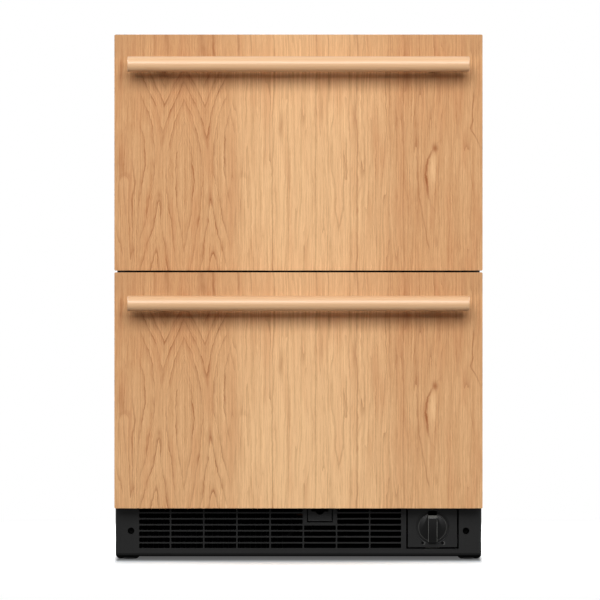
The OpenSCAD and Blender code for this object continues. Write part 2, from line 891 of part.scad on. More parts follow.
module compressor() {
    r = compressor_d / 2;
    base = foot_plate_z + foot_plate_t;
    seam = 100;
    plate_margin = 17;
    plate_hole_r = 7.3;
    process_l = 30;
    color([0.05, 0.05, 0.06]) translate([compressor_x, compressor_y, 0]) {
        // two drawn shells with a welded seam
        rotate_extrude() polygon([
            [0, base], [r - 30, base], [r - 10, base + 12], [r - 2, base + 32], [r - 2, seam - 3],
            [r, seam - 3], [r, seam + 3], [r - 2, seam + 3], [r - 2, compressor_top - 42],
            [r - 12, compressor_top - 18], [r - 36, compressor_top], [0, compressor_top]
        ]);
        // foot plate
        translate([0, 0, foot_plate_z]) linear_extrude(foot_plate_t) difference() {
            rounded_rect(2 * (mount_dx + plate_margin), 2 * (mount_dy + plate_margin), 14);
            for (x = [-1, 1], y = [-1, 1])
                translate([x * mount_dx, y * mount_dy]) circle(plate_hole_r);
        }
        // terminal block
        block([-20, -r - 5, seam - 25], [20, -r + 20, seam - 5]);
        // stubs of the hot line and the return line, and the pinched filling tube
        rod([20 - r, 0, discharge_z], [-stub_reach, 0, discharge_z], stub_r);
        rod([20 - r, suction_dy, suction_z], [-stub_reach, suction_dy, suction_z], stub_r + 1);
        rod([20 - r, -suction_dy, suction_z], [-r - process_l, -suction_dy, suction_z], 3);
        block([-r - process_l - 8, -suction_dy - 4, suction_z - 1],
              [-r - process_l + eps, -suction_dy + 4, suction_z + 1]);
    }
}

module compressor_mounts() {
    color([0.07, 0.07, 0.07]) translate([compressor_x, compressor_y, 0])
        for (x = [-1, 1], y = [-1, 1]) translate([x * mount_dx, y * mount_dy, 0])
            rotate_extrude() polygon([
                [0, pan_top], [11, pan_top], [11, foot_plate_z], [7, foot_plate_z],
                [7, foot_plate_z + foot_plate_t], [9, foot_plate_z + foot_plate_t + 0.3],
                [7, foot_plate_z + 10], [4, foot_plate_z + 10], [3, foot_plate_z + 16],
                [0, foot_plate_z + 16]
            ]);
}

module relay_cover() {
    y = compressor_y - compressor_d / 2 - 5;
    z = 85;
    w = 48;
    h = 38;
    depth = 16;
    clip_w = 10;
    clip_t = 1.5;
    mouth_w = 18;
    mouth_h = 5;
    mouth_t = 2;
    low = z - h / 2;
    color([0.12, 0.12, 0.12]) difference() {
        union() {
            translate([compressor_x, 0, z]) {
                upright(y - depth, depth) rounded_rect(w, h, 5);
                // spring clip over the cover
                upright(y - depth - clip_t, clip_t + eps) square([clip_w, h], center = true);
            }
            // mouth for its wires
            block([compressor_x - mouth_w / 2, y - depth + mouth_t, low - mouth_h],
                  [compressor_x + mouth_w / 2, y - mouth_t, low + 1]);
        }
        block([compressor_x - mouth_w / 2 + mouth_t, y - depth + 2 * mouth_t, low - mouth_h - 1],
              [compressor_x + mouth_w / 2 - mouth_t, y - 2 * mouth_t, low - 1]);
    }
}

// Fins along the air's way, tubes through them with round bends at both ends
module condenser_coil() {
    $fn = 24;
    last = len(coil_ys) - 1;
    x1 = coil_x0 + (coil_fins - 1) * coil_fin_pitch;
    bend_x0 = coil_x0 - coil_end;
    bend_x1 = x1 + coil_end;
    low = coil_ys[0] - coil_margin;
    high = coil_ys[last] + coil_margin;
    color([0.10, 0.10, 0.11]) {
        for (k = [0:coil_fins - 1])
            block([coil_x0 + k * coil_fin_pitch, low, pan_top],
                  [coil_x0 + k * coil_fin_pitch + coil_fin_t, high, coil_fin_top]);
        for (y = coil_ys, z = coil_zs) rod([bend_x0, y, z], [bend_x1, y, z], coil_tube_r);
        for (k = [0:last - 1], z = coil_zs) {
            left = k % 2 == 0;
            bend([left ? bend_x0 : bend_x1, (coil_ys[k] + coil_ys[k + 1]) / 2, z], [0, -1, 0],
                 [left ? -1 : 1, 0, 0], 180, coil_pitch / 2, coil_tube_r);
        }
        // link between the two rows, and the stubs of the hot and the cooled line
        bend([bend_x1, coil_ys[0], (coil_zs[0] + coil_zs[1]) / 2], [0, 0, -1], [1, 0, 0], 180,
             (coil_zs[1] - coil_zs[0]) / 2, coil_tube_r);
        for (z = coil_zs) rod([bend_x1, coil_ys[last], z], [join_x, coil_ys[last], z], coil_tube_r);
    }
}

// Shroud plate with a flared ring round the fan
module fan_shroud() {
    ring_r = condenser_fan_d / 2 + 4;
    ring_t = 2;
    ring_l = 28;
    flare = 8;
    flare_l = 4;
    plate_x0 = -294;
    plate_x1 = 10;
    plate_h = 180;
    color([0.12, 0.12, 0.12]) {
        upright(shroud_y, ring_t) difference() {
            translate([plate_x0, pan_top]) square([plate_x1 - plate_x0, plate_h]);
            translate([fan_x, fan_z]) circle(ring_r + ring_t / 2);
        }
        translate([fan_x, shroud_y, fan_z]) rotate([-90, 0, 0]) rotate_extrude() polygon([
            [ring_r + flare, -flare_l], [ring_r + flare + ring_t, -flare_l], [ring_r + ring_t + 4, 0],
            [ring_r + ring_t, 6], [ring_r + ring_t, ring_l], [ring_r, ring_l], [ring_r, 5],
            [ring_r + 3, 0]
        ]);
    }
}

// Cambered section of a fan blade, an arc whose chord is w wide
module blade_section(w) {
    blade_t = 1.8;
    camber_r = w;
    sag = camber_r - sqrt(camber_r * camber_r - w * w / 4);
    translate([sag / 2 - camber_r, 0]) intersection() {
        difference() {
            circle(camber_r + blade_t / 2);
            circle(camber_r - blade_t / 2);
        }
        translate([0, -w / 2]) square([camber_r + blade_t, w]);
    }
}

// Fan with pitched blades on a hub, turning about Y, with its shaft behind it
module fan(d, hub_r, depth, blade_w, pitch, shaft_r, shaft_l) {
    hub_wall = 3;
    difference() {
        round_y(hub_r, 0, depth);
        round_y(hub_r - hub_wall, -1, depth - hub_wall);
    }
    round_y(shaft_r, depth - eps, shaft_l);
    intersection() {
        union() for (k = [0:fan_blades - 1]) rotate([0, k * 360 / fan_blades, 0])
            translate([hub_r - hub_wall / 2, depth / 2, 0]) rotate([pitch, 0, 0])
                rotate([90, 0, 90]) linear_extrude(d / 2) blade_section(blade_w);
        round_y(d / 2, 0, depth);
    }
}

module condenser_fan_blade() {
    color([0.80, 0.80, 0.78]) translate([fan_x, shroud_y + 4, fan_z])
        fan(condenser_fan_d, 22, 22, 46, 30, 3, 20);
}

module condenser_fan_motor() {
    y = shroud_y + 30;
    motor_r = 32;
    motor_l = 42;
    bracket_w = 32;
    bracket_y = y + 18;
    bracket_t = 2;
    bracket_foot = 26;
    cap_t = 1.5;
    boss_r = 9;
    boss_l = 5;
    color([0.40, 0.41, 0.42]) difference() {
        union() {
            translate([fan_x, 0, fan_z]) {
                round_y(motor_r, y, motor_l);
                // end cap and the rear bearing's boss
                round_y(motor_r - 4, y - cap_t, cap_t + eps);
                round_y(boss_r, y + motor_l - eps, boss_l);
            }
            // bracket down to the base pan
            block([fan_x - bracket_w / 2, bracket_y, pan_top],
                  [fan_x + bracket_w / 2, bracket_y + bracket_t, fan_z - 20]);
            block([fan_x - bracket_w / 2, bracket_y, pan_top],
                  [fan_x + bracket_w / 2, bracket_y + bracket_foot, pan_top + bracket_t]);
        }
        translate([fan_x, 0, fan_z]) round_y(3 + stem_clear, y - 2, 20);
    }
}

module drain_pan() {
    w = 190;
    h = 26;
    t = 2;
    r = 12;
    color([0.10, 0.10, 0.10]) translate([compressor_x, compressor_y, compressor_top]) difference() {
        union() {
            linear_extrude(h) rounded_rect(w, w, r);
            // bead round the rim
            translate([0, 0, h - 3]) linear_extrude(3) rounded_rect(w + 3, w + 3, r + 1.5);
        }
        translate([0, 0, t]) linear_extrude(h) rounded_rect(w - 2 * t, w - 2 * t, r - t);
    }
}

module refrigerant_lines() {
    $fn = 32;
    stub_x = compressor_x - stub_reach;
    coil_y = coil_ys[len(coil_ys) - 1];
    hot_x = 40;
    return_x = 36;
    line_bend = 12;
    color([0.72, 0.45, 0.30]) {
        // hot line to the condenser's upper row
        pipe([[stub_x, compressor_y, discharge_z], [hot_x, compressor_y, discharge_z],
              [hot_x, compressor_y, coil_zs[1]], [hot_x, coil_y, coil_zs[1]],
              [join_x, coil_y, coil_zs[1]]], 4, line_bend);
        // cooled line from its lower row, the filter drier and the thin tube into the insulation
        pipe([[join_x, coil_y, coil_zs[0]], [drier_x, coil_y, coil_zs[0]],
              [drier_x, drier_y, coil_zs[0]], [drier_x, drier_y, drier_z]], 3, line_bend);
        translate([drier_x, drier_y, drier_z]) rotate_extrude() polygon([
            [0, 0], [3, 0], [10, 10], [10, drier_l - 12], [3, drier_l], [0, drier_l]
        ]);
        rod([drier_x, drier_y, drier_z + drier_l - eps], [drier_x, drier_y, hump_h], 2);
        // return line from the evaporator
        pipe([[stub_x, compressor_y + suction_dy, suction_z],
              [return_x, compressor_y + suction_dy, suction_z],
              [return_x, compressor_y + suction_dy, hump_h]], 5, line_bend);
    }
}

// ---------- cold side ----------

module evaporator_coil() {
    $fn = 24;
    fins = 22;
    fin_pitch = 18;
    fin_margin = 15;
    rows = 4;
    row_pitch = 30;
    low = 555;
    end = 10;
    tube_r = 4;
    tube_dys = [11, 31];
    fin_t = 0.8;
    fin_depth = 42;
    x0 = -(fins - 1) * fin_pitch / 2;
    y = cover_y + 8;
    top = low + (rows - 1) * row_pitch + fin_margin;
    color([0.78, 0.79, 0.80]) {
        for (k = [0:fins - 1])
            block([x0 + k * fin_pitch - fin_t / 2, y, low - fin_margin],
                  [x0 + k * fin_pitch + fin_t / 2, y + fin_depth, top]);
        for (k = [0:rows - 1], dy = tube_dys)
            rod([x0 - end, y + dy, low + row_pitch * k], [-x0 + end, y + dy, low + row_pitch * k], tube_r);
        // bends that join the rows
        for (k = [0:rows - 2], dy = tube_dys) {
            side = (k % 2 == 0) ? -1 : 1;
            bend([side * (end - x0), y + dy, low + row_pitch * (k + 0.5)], [0, 0, -1],
                 [side, 0, 0], 180, row_pitch / 2, tube_r);
        }
    }
}

// Outline of the cover in X and Z, inset by a margin
module cover_outline(inset) {
    gap = 0.2 + inset;
    rounded_pane(cavity_w - 2 * gap, upper_floor_z + gap,
                 upper_open_top - upper_open_z - 2 * liner_t - 2 * gap, liner_r - liner_t - gap);
}

module evaporator_cover() {
    guard_rs = [14, 26, 38];
    guard_gap = 9;
    spoke_w = 5;
    return_x = 210;
    color([0.94, 0.94, 0.93]) {
        upright(cover_y, cover_t) difference() {
            cover_outline(0);
            // guard in front of the fan
            translate([0, evap_fan_z]) for (r = guard_rs) difference() {
                circle(r + guard_gap);
                circle(r);
                for (a = [0, 60, 120]) rotate(a) square([evaporator_fan_d + 24, spoke_w], center = true);
            }
            // air return along the floor
            for (x = [-return_x:60:return_x]) translate([x, upper_floor_z + 22]) rounded_rect(44, 8, 3.9);
        }
        // turned-back edge
        upright(cover_y + cover_t - eps, 8) difference() {
            cover_outline(0);
            cover_outline(cover_t);
        }
    }
}

module evaporator_fan_blade() {
    color([0.90, 0.90, 0.90]) translate([0, cover_y + 6, evap_fan_z])
        fan(evaporator_fan_d, 14, 14, 26, 28, 2, 14);
}

module evaporator_fan_motor() {
    y = cover_y + 22.5;
    wall_y = liner_back_y - liner_t;
    motor_r = 20;
    strap_w = 80;
    strap_h = 20;
    strap_t = 2;
    color([0.40, 0.41, 0.42]) difference() {
        union() {
            translate([0, 0, evap_fan_z]) round_y(motor_r, y, wall_y - y - strap_t);
            // strap on the liner's back wall
            block([-strap_w / 2, wall_y - strap_t, evap_fan_z - strap_h / 2],
                  [strap_w / 2, wall_y, evap_fan_z + strap_h / 2]);
        }
        translate([0, 0, evap_fan_z]) round_y(2 + stem_clear, y - 1, 14);
    }
}

// Tabs on the cabinet's top whose front holes take the counter's screws
module counter_brackets() {
    t = 2;
    w = 50;
    hole_y = cab_y - 17;
    y0 = hole_y - 12;
    y1 = cab_y + 50;
    color([0.70, 0.71, 0.72])
        both_sides() translate([bracket_x, 0, cab_top]) linear_extrude(t) difference() {
            translate([0, (y0 + y1) / 2]) rounded_rect(w, y1 - y0, 5);
            translate([0, hole_y]) circle(3);
        }
}

// ---------- slides ----------

// Places a rail section, drawn in u (from the liner) and v (height), on both sides of a drawer
module rail_pair(z, y, l) {
    both_sides() translate([-cavity_w / 2, 0, z]) upright(y, l) children();
}

module outer_rail_section() {
    h = rail_h / 2;
    difference() {
        translate([0, -h]) square([outer_depth, rail_h]);
        translate([rail_sheet, -h + rail_sheet + rail_lip])
            square([outer_depth, rail_h - 2 * rail_sheet - 2 * rail_lip]);
        translate([rail_sheet, -h + rail_sheet])
            square([outer_depth - 2 * rail_sheet, rail_h - 2 * rail_sheet]);
    }
}

module middle_rail_section() {
    difference() {
        translate([middle_web_u, -middle_v]) square([middle_end_u - middle_web_u, 2 * middle_v]);
        translate([middle_web_u + rail_sheet, -middle_v + rail_sheet])
            square([middle_end_u, 2 * (middle_v - rail_sheet)]);
        // ball races
        for (s = [-1, 1]) {
            translate([outer_ball_u, s * outer_ball_v]) circle(ball_d / 2 + 2 * ball_gap);
            translate([inner_ball_u, s * inner_ball_v]) circle(ball_d / 2 + 2 * ball_gap);
        }
    }
}

module inner_rail_section() {
    difference() {
        translate([inner_flange_u, -inner_v]) square([rail_t - inner_flange_u, 2 * inner_v]);
        translate([inner_flange_u - 1, -inner_v + rail_sheet])
            square([rail_t - inner_flange_u + 1 - rail_sheet, 2 * (inner_v - rail_sheet)]);
        for (s = [-1, 1])
            translate([inner_ball_u, s * inner_ball_v]) circle(ball_d / 2 + 2 * ball_gap);
    }
}

// Outer rails with their fixing slots and the bent stop behind the other rails
module outer_rails(z) {
    web_x = -cavity_w / 2;
    end_y = rail_y + rail_l;
    color([0.75, 0.76, 0.78]) {
        difference() {
            rail_pair(z, rail_y, rail_l) outer_rail_section();
            both_sides() for (dy = rail_slot_dys)
                across(2 * rail_sheet, web_x + rail_sheet) translate([rail_y + dy, z])
                    rounded_rect(rail_slot_l, rail_slot_h, rail_slot_h / 2 - 0.1);
        }
        both_sides() {
            block([web_x, end_y - 1, z - stop_h / 2],
                  [web_x + rail_sheet, end_y + stop_gap + rail_sheet, z + stop_h / 2]);
            block([web_x, end_y + stop_gap, z - stop_h / 2],
                  [web_x + outer_depth, end_y + stop_gap + rail_sheet, z + stop_h / 2]);
        }
    }
}

module middle_rails(z) {
    color([0.75, 0.76, 0.78]) rail_pair(z, rail_y, rail_l) middle_rail_section();
}

module inner_rails(z) {
    color([0.75, 0.76, 0.78]) rail_pair(z, rail_y, rail_l) inner_rail_section();
}

// Strip that holds two rows of balls, from u0 to u1 deep
module ball_cages(z, u0, u1, ball_u, ball_v) {
    pitch = cage_l / cage_balls;
    color([0.55, 0.56, 0.57]) {
        rail_pair(z, cage_y, cage_l) difference() {
            translate([u0, -ball_v - cage_t / 2]) square([u1 - u0, 2 * ball_v + cage_t]);
            translate([u0 + cage_t, -ball_v + cage_t / 2]) square([u1 - u0, 2 * ball_v - cage_t]);
        }
        both_sides() for (s = [-1, 1], k = [0:cage_balls - 1])
            translate([-cavity_w / 2 + ball_u, cage_y + (k + 0.5) * pitch, z + s * ball_v])
                sphere(ball_d / 2, $fn = 24);
    }
}

module outer_cages(z) {
    ball_cages(z, 1.7, outer_ball_u + ball_d / 2, outer_ball_u, outer_ball_v);
}

module inner_cages(z) {
    ball_cages(z, 4.8, inner_ball_u + ball_d / 2, inner_ball_u, inner_ball_v);
}

module upper_outer_rails() { outer_rails(upper_rail_z); }
module lower_outer_rails() { outer_rails(lower_rail_z); }
module upper_middle_rails() { middle_rails(upper_rail_z); }
module lower_middle_rails() { middle_rails(lower_rail_z); }
module upper_inner_rails() { inner_rails(upper_rail_z); }
module lower_inner_rails() { inner_rails(lower_rail_z); }
module upper_outer_cages() { outer_cages(upper_rail_z); }
module lower_outer_cages() { outer_cages(lower_rail_z); }
module upper_inner_cages() { inner_cages(upper_rail_z); }
module lower_inner_cages() { inner_cages(lower_rail_z); }

// ---------- drawers ----------

module wood_panel(z) {
    bar_z = z + panel_h - bar_drop;
    color([0.84, 0.64, 0.45]) difference() {
        upright(panel_y, panel_t) rounded_pane(unit_w, z, panel_h, panel_corner_r);
        for (x = [-post_spacing / 2, post_spacing / 2]) translate([x, 0, bar_z]) {
            round_y(post_hole_r, panel_y - 1, panel_t + 2);
            round_y(counterbore_r, front_y - counterbore_t, counterbore_t + 1);
        }
    }
}

module handle_bar(z) {
    bar_z = z + panel_h - bar_drop;
    r = bar_d / 2;
    edge = 1;
    socket_y = bar_y + r - socket_t;
    color([0.86, 0.68, 0.50]) difference() {
        translate([-bar_l / 2, bar_y, bar_z]) rotate([0, 90, 0]) rotate_extrude() polygon([
            [0, 0], [r - edge, 0], [r, edge], [r, bar_l - edge], [r - edge, bar_l], [0, bar_l]
        ]);
        for (x = [-post_spacing / 2, post_spacing / 2]) translate([x, 0, bar_z]) {
            round_y(post_d / 2 + socket_clear, socket_y, r);
            round_y(stud_r + socket_clear, socket_y - stud_l - 1, r);
        }
    }
}

// Turned post with its flange on the wood, its stud in the bar and its screw from behind
module handle_posts(z) {
    bar_z = z + panel_h - bar_drop;
    seat = counterbore_t;
    tip = panel_t + finger_gap + socket_t;
    color([0.80, 0.81, 0.82]) for (x = [-post_spacing / 2, post_spacing / 2])
        translate([x, front_y, bar_z]) rotate([90, 0, 0]) rotate_extrude() polygon([
            [0, seat - post_head_t], [post_head_r, seat - post_head_t], [post_head_r, seat],
            [post_screw_r, seat], [post_screw_r, panel_t], [post_flange_r, panel_t],
            [post_flange_r, panel_t + post_flange_t - 1], [post_flange_r - 1, panel_t + post_flange_t],
            [post_d / 2, panel_t + post_flange_t], [post_d / 2, tip], [stud_r, tip],
            [stud_r, tip + stud_l], [0, tip + stud_l]
        ]);
}

module front_shell(z) {
    depth = front_t - inner_panel_t;
    color([0.10, 0.10, 0.11]) difference() {
        upright(front_y, depth) rounded_pane(front_w, z, front_h, 3);
        upright(front_y + sheet_t, depth - 2 * sheet_t)
            rounded_pane(front_w - 2 * sheet_t, z + sheet_t, front_h - 2 * sheet_t, 3 - sheet_t);
        // mouth between the edges that turn in at the back
        upright(front_y + sheet_t, depth)
            rounded_pane(front_w - 2 * return_w, z + return_w, front_h - 2 * return_w, 3);
    }
}

module front_liner(z) {
    dike_w = front_w - 2 * dike_inset;
    dike_z = z + dike_inset;
    dike_h = front_h - 2 * dike_inset;
    color([0.94, 0.94, 0.93]) difference() {
        union() {
            upright(front_back_y - inner_panel_t, inner_panel_t) rounded_pane(front_w, z, front_h, 3);
            upright(front_back_y - eps, dike_t + eps) rounded_pane(dike_w, dike_z, dike_h, 10);
        }
        upright(front_back_y - inner_panel_t - 1, dike_t + 1)
            rounded_pane(dike_w - 4, dike_z + 2, dike_h - 4, 8);
    }
}

// Bellows gasket: dart strip on the front, narrow neck, magnet strip towards the cabinet
module gasket(z) {
    w = front_w - 2 * gasket_inset;
    h = front_h - 2 * gasket_inset;
    zg = z + gasket_inset;
    end_y = cab_y - gasket_gap;
    neck = 3.5;
    color([0.55, 0.55, 0.56]) {
        upright(front_back_y, dart_t) pane_ring(w, zg, h, gasket_w);
        upright(front_back_y + dart_t - eps, end_y - magnet_t - front_back_y - dart_t + 2 * eps)
            pane_ring(w - 2 * neck, zg + neck, h - 2 * neck, gasket_w - 2 * neck);
        upright(end_y - magnet_t, magnet_t) pane_ring(w, zg, h, gasket_w);
    }
}

// Steel frame between the inner rails that carries the bin by its rim
module bin_frame(rail_z, rim_z) {
    low = rail_z - frame_low;
    back = rail_y + rail_l;
    flange_w = 20;
    tie_h = 30;
    color([0.75, 0.76, 0.78]) {
        both_sides() {
            block([frame_x - sheet_t, dike_y, low], [frame_x, back, rim_z]);
            block([frame_x - ledge_w, bin_y0 - 4, rim_z - sheet_t], [frame_x, back, rim_z]);
            block([frame_x - flange_w, dike_y, low], [frame_x, dike_y + sheet_t, rim_z]);
        }
        // tie at the back, with its upper edge turned in
        block([-frame_x, back - sheet_t, rail_z - tie_h / 2], [frame_x, back, rail_z + tie_h / 2]);
        block([-frame_x, back - 8, rail_z - tie_h / 2], [frame_x, back, rail_z - tie_h / 2 + sheet_t]);
    }
}

// Rounded upright prism over a stretch of Y
module prism(w, y0, y1, z0, z1, r) {
    translate([0, (y0 + y1) / 2, z0]) linear_extrude(z1 - z0) rounded_rect(w, y1 - y0, r);
}

// Rectangle from z0 to z1 whose lower corners are round
module footed(w, z0, z1, r) {
    translate([-w / 2, z0 + r]) square([w, z1 - z0 - r]);
    translate([-w / 2 + r, z0]) square([w - 2 * r, 2 * r]);
    for (x = [r - w / 2, w / 2 - r]) translate([x, z0 + r]) circle(r);
}

// Moulded tub: a prism whose floor edges are round all the way
module tub(w, y0, y1, z0, z1, r) {
    intersection() {
        prism(w, y0, y1, z0, z1, r);
        upright(y0, y1 - y0) footed(w, z0, z1, r / 2);
        across(w) translate([(y0 + y1) / 2, 0]) footed(y1 - y0, z0, z1, r / 2);
    }
}

// Flat rim with a raised outer edge
module bin_rim(rim_z) {
    y0 = bin_y0 - rim_margin + 2;
    y1 = bin_y1 + rim_margin;
    r = bin_corner_r + 4;
    difference() {
        prism(rim_w, y0, y1, rim_z, rim_z + rim_t + rim_edge_h, r);
        prism(rim_w - 2 * rim_t, y0 + rim_t, y1 - rim_t, rim_z + rim_t, rim_z + rim_t + rim_edge_h + 1,
              r - rim_t);
    }
}

// Stiffening ribs on the outside of a bin's long walls
module bin_ribs(low, rim_z) {
    for (k = [0:bin_rib_count - 1]) {
        y = bin_y0 + bin_corner_r + 30 + k * bin_rib_pitch;
        both_sides()
            block([bin_w / 2 - eps, y, low], [bin_w / 2 + bin_rib_h, y + bin_t, rim_z + eps]);
    }
}

module upper_bin() {
    z0 = upper_floor_z + bin_clearance;
    top = upper_rim_z + rim_t;
    color([0.88, 0.90, 0.91]) difference() {
        union() {
            tub(bin_w, bin_y0, bin_y1, z0, top, bin_corner_r);
            bin_rim(upper_rim_z);
            bin_ribs(z0 + bin_corner_r, upper_rim_z);
        }
        tub(bin_w - 2 * bin_t, bin_y0 + bin_t, bin_y1 - bin_t, z0 + bin_t, top + 9,
            bin_corner_r - bin_t);
    }
}

module lower_bin() {
    z0 = lower_floor_z + bin_clearance;
    top = lower_rim_z + rim_t;
    color([0.88, 0.90, 0.91]) difference() {
        union() {
            tub(bin_w, bin_y0, bin_step_y, z0, top, bin_corner_r);
            tub(bin_w, bin_y0, bin_y1, bin_step_z, top, bin_corner_r);
            bin_rim(lower_rim_z);
            bin_ribs(bin_step_z + bin_corner_r, lower_rim_z);
        }
        tub(bin_w - 2 * bin_t, bin_y0 + bin_t, bin_step_y - bin_t, z0 + bin_t, top + 9,
            bin_corner_r - bin_t);
        tub(bin_w - 2 * bin_t, bin_y0 + bin_t, bin_y1 - bin_t, bin_step_z + bin_t, top + 9,
            bin_corner_r - bin_t);
    }
}

module upper_wood_panel() { wood_panel(upper_panel_z); }
module upper_handle_bar() { handle_bar(upper_panel_z); }
module upper_handle_posts() { handle_posts(upper_panel_z); }
module upper_front_shell() { front_shell(upper_front_z); }
module upper_front_liner() { front_liner(upper_front_z); }
module upper_gasket() { gasket(upper_front_z); }
module upper_bin_frame() { bin_frame(upper_rail_z, upper_rim_z); }
module lower_wood_panel() { wood_panel(base_h); }
module lower_handle_bar() { handle_bar(base_h); }
module lower_handle_posts() { handle_posts(base_h); }
module lower_front_shell() { front_shell(lower_front_z); }
module lower_front_liner() { front_liner(lower_front_z); }
module lower_gasket() { gasket(lower_front_z); }
module lower_bin_frame() { bin_frame(lower_rail_z, lower_rim_z); }

// ---------- the pieces ----------

cabinet_wrapper();
back_panel();
machine_deck();
mullion_rail();
insulation_foam();
upper_liner();
lower_liner();
base_pan();
rear_cover();
base_grille();
control_plate();
service_tab();
grille_screws();
thermostat_body();
compressor();
compressor_mounts();
relay_cover();
condenser_coil();
fan_shroud();
condenser_fan_motor();
drain_pan();
refrigerant_lines();
evaporator_coil();
evaporator_cover();
evaporator_fan_motor();
counter_brackets();
cord_gland();
upper_outer_rails();
lower_outer_rails();
control_knob();
front_left_leg();
front_right_leg();
rear_left_leg();
rear_right_leg();
condenser_fan_blade();
evaporator_fan_blade();
upper_middle_rails();
lower_middle_rails();
upper_outer_cages();
lower_outer_cages();
upper_inner_cages();
lower_inner_cages();
upper_wood_panel();
upper_handle_bar();
upper_handle_posts();
upper_front_shell();
upper_front_liner();
upper_gasket();
upper_bin();
upper_bin_frame();
upper_inner_rails();
lower_wood_panel();
lower_handle_bar();
lower_handle_posts();
lower_front_shell();
lower_front_liner();
lower_gasket();
lower_bin();
lower_bin_frame();
lower_inner_rails();
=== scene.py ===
"""Undercounter drawer refrigerator with wood fronts: finishes, small parts and studio around the frame."""
import json
import math

import bmesh
import bpy
from mathutils import Matrix, Vector

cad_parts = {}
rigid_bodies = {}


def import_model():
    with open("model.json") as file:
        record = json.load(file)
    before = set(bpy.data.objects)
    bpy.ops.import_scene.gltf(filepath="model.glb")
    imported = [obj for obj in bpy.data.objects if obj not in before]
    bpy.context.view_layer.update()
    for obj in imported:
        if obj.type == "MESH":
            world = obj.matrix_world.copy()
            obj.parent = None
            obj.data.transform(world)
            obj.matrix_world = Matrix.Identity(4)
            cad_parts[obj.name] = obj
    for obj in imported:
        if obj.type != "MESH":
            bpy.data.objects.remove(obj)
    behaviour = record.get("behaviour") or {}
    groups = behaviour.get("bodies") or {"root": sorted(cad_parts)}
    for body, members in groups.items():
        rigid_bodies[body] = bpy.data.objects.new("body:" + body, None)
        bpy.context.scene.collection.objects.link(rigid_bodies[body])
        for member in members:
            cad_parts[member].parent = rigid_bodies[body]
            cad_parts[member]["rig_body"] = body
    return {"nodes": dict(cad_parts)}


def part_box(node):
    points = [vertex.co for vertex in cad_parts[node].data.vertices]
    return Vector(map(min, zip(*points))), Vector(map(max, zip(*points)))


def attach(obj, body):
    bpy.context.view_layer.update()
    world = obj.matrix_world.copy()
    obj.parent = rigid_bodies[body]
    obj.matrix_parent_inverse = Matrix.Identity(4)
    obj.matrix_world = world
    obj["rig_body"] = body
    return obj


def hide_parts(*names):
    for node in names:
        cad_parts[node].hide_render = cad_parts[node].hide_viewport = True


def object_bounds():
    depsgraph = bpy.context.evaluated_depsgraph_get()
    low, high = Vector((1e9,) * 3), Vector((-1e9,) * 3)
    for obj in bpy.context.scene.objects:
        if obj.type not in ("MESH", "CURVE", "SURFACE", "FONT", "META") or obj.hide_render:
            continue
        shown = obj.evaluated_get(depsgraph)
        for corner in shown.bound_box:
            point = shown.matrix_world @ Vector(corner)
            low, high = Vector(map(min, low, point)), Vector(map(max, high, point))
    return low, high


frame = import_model()
nodes = frame["nodes"]
cad_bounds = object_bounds()

MM = 0.001
TO_MM = 1000.0


# ---------- camera ----------

PANEL_FACE_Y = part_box("upper_wood_panel")[0].y
CAMERA_DISTANCE = 7.5
CAMERA_X = 0.0025
CAMERA_HEIGHT = 0.430
CAMERA_LENS_MM = 273.4
CAMERA_SENSOR_MM = 36.0


def add_camera():
    """A long lens that looks straight at the fronts."""
    data = bpy.data.cameras.new("front_camera")
    data.sensor_width = CAMERA_SENSOR_MM
    data.lens = CAMERA_LENS_MM
    data.clip_end = 100.0
    camera = bpy.data.objects.new("front_camera", data)
    camera.location = (CAMERA_X, PANEL_FACE_Y - CAMERA_DISTANCE, CAMERA_HEIGHT)
    camera.rotation_euler = (math.radians(90), 0, 0)
    bpy.context.scene.collection.objects.link(camera)
    bpy.context.scene.camera = camera


add_camera()
bpy.context.scene.view_settings.view_transform = "Standard"


# ---------- shader tools ----------

class Wire:
    """A shader socket that Python's own signs can reckon with."""

    def __init__(self, finish, socket):
        self.finish = finish
        self.socket = socket

    def math(self, operation, *others):
        return self.finish.node("Math", (self, *others), operation=operation)

    def __add__(self, other):
        return self.math("ADD", other)

    def __sub__(self, other):
        return self.math("SUBTRACT", other)

    def __rsub__(self, other):
        return self.finish.node("Math", (other, self), operation="SUBTRACT")

    def __mul__(self, other):
        return self.math("MULTIPLY", other)

    def __truediv__(self, other):
        return self.math("DIVIDE", other)

    def __pow__(self, other):
        return self.math("POWER", other)

    def __neg__(self):
        return self.math("MULTIPLY", -1.0)

    def __abs__(self):
        return self.math("ABSOLUTE")

    __radd__, __rmul__ = __add__, __mul__

    def above(self, other):
        """The larger of the two."""
        return self.math("MAXIMUM", other)

    def below(self, other):
        """The smaller of the two."""
        return self.math("MINIMUM", other)

    def saw(self, sharp):
        """1 just past every whole number, fading up to the next. A larger sharp fades sooner."""
        return (1.0 - self.math("FRACT")) ** sharp

    def hump(self):
        """1 where the wire is 0, falling smoothly on both sides."""
        return (self * self * -1.0).math("EXPONENT")


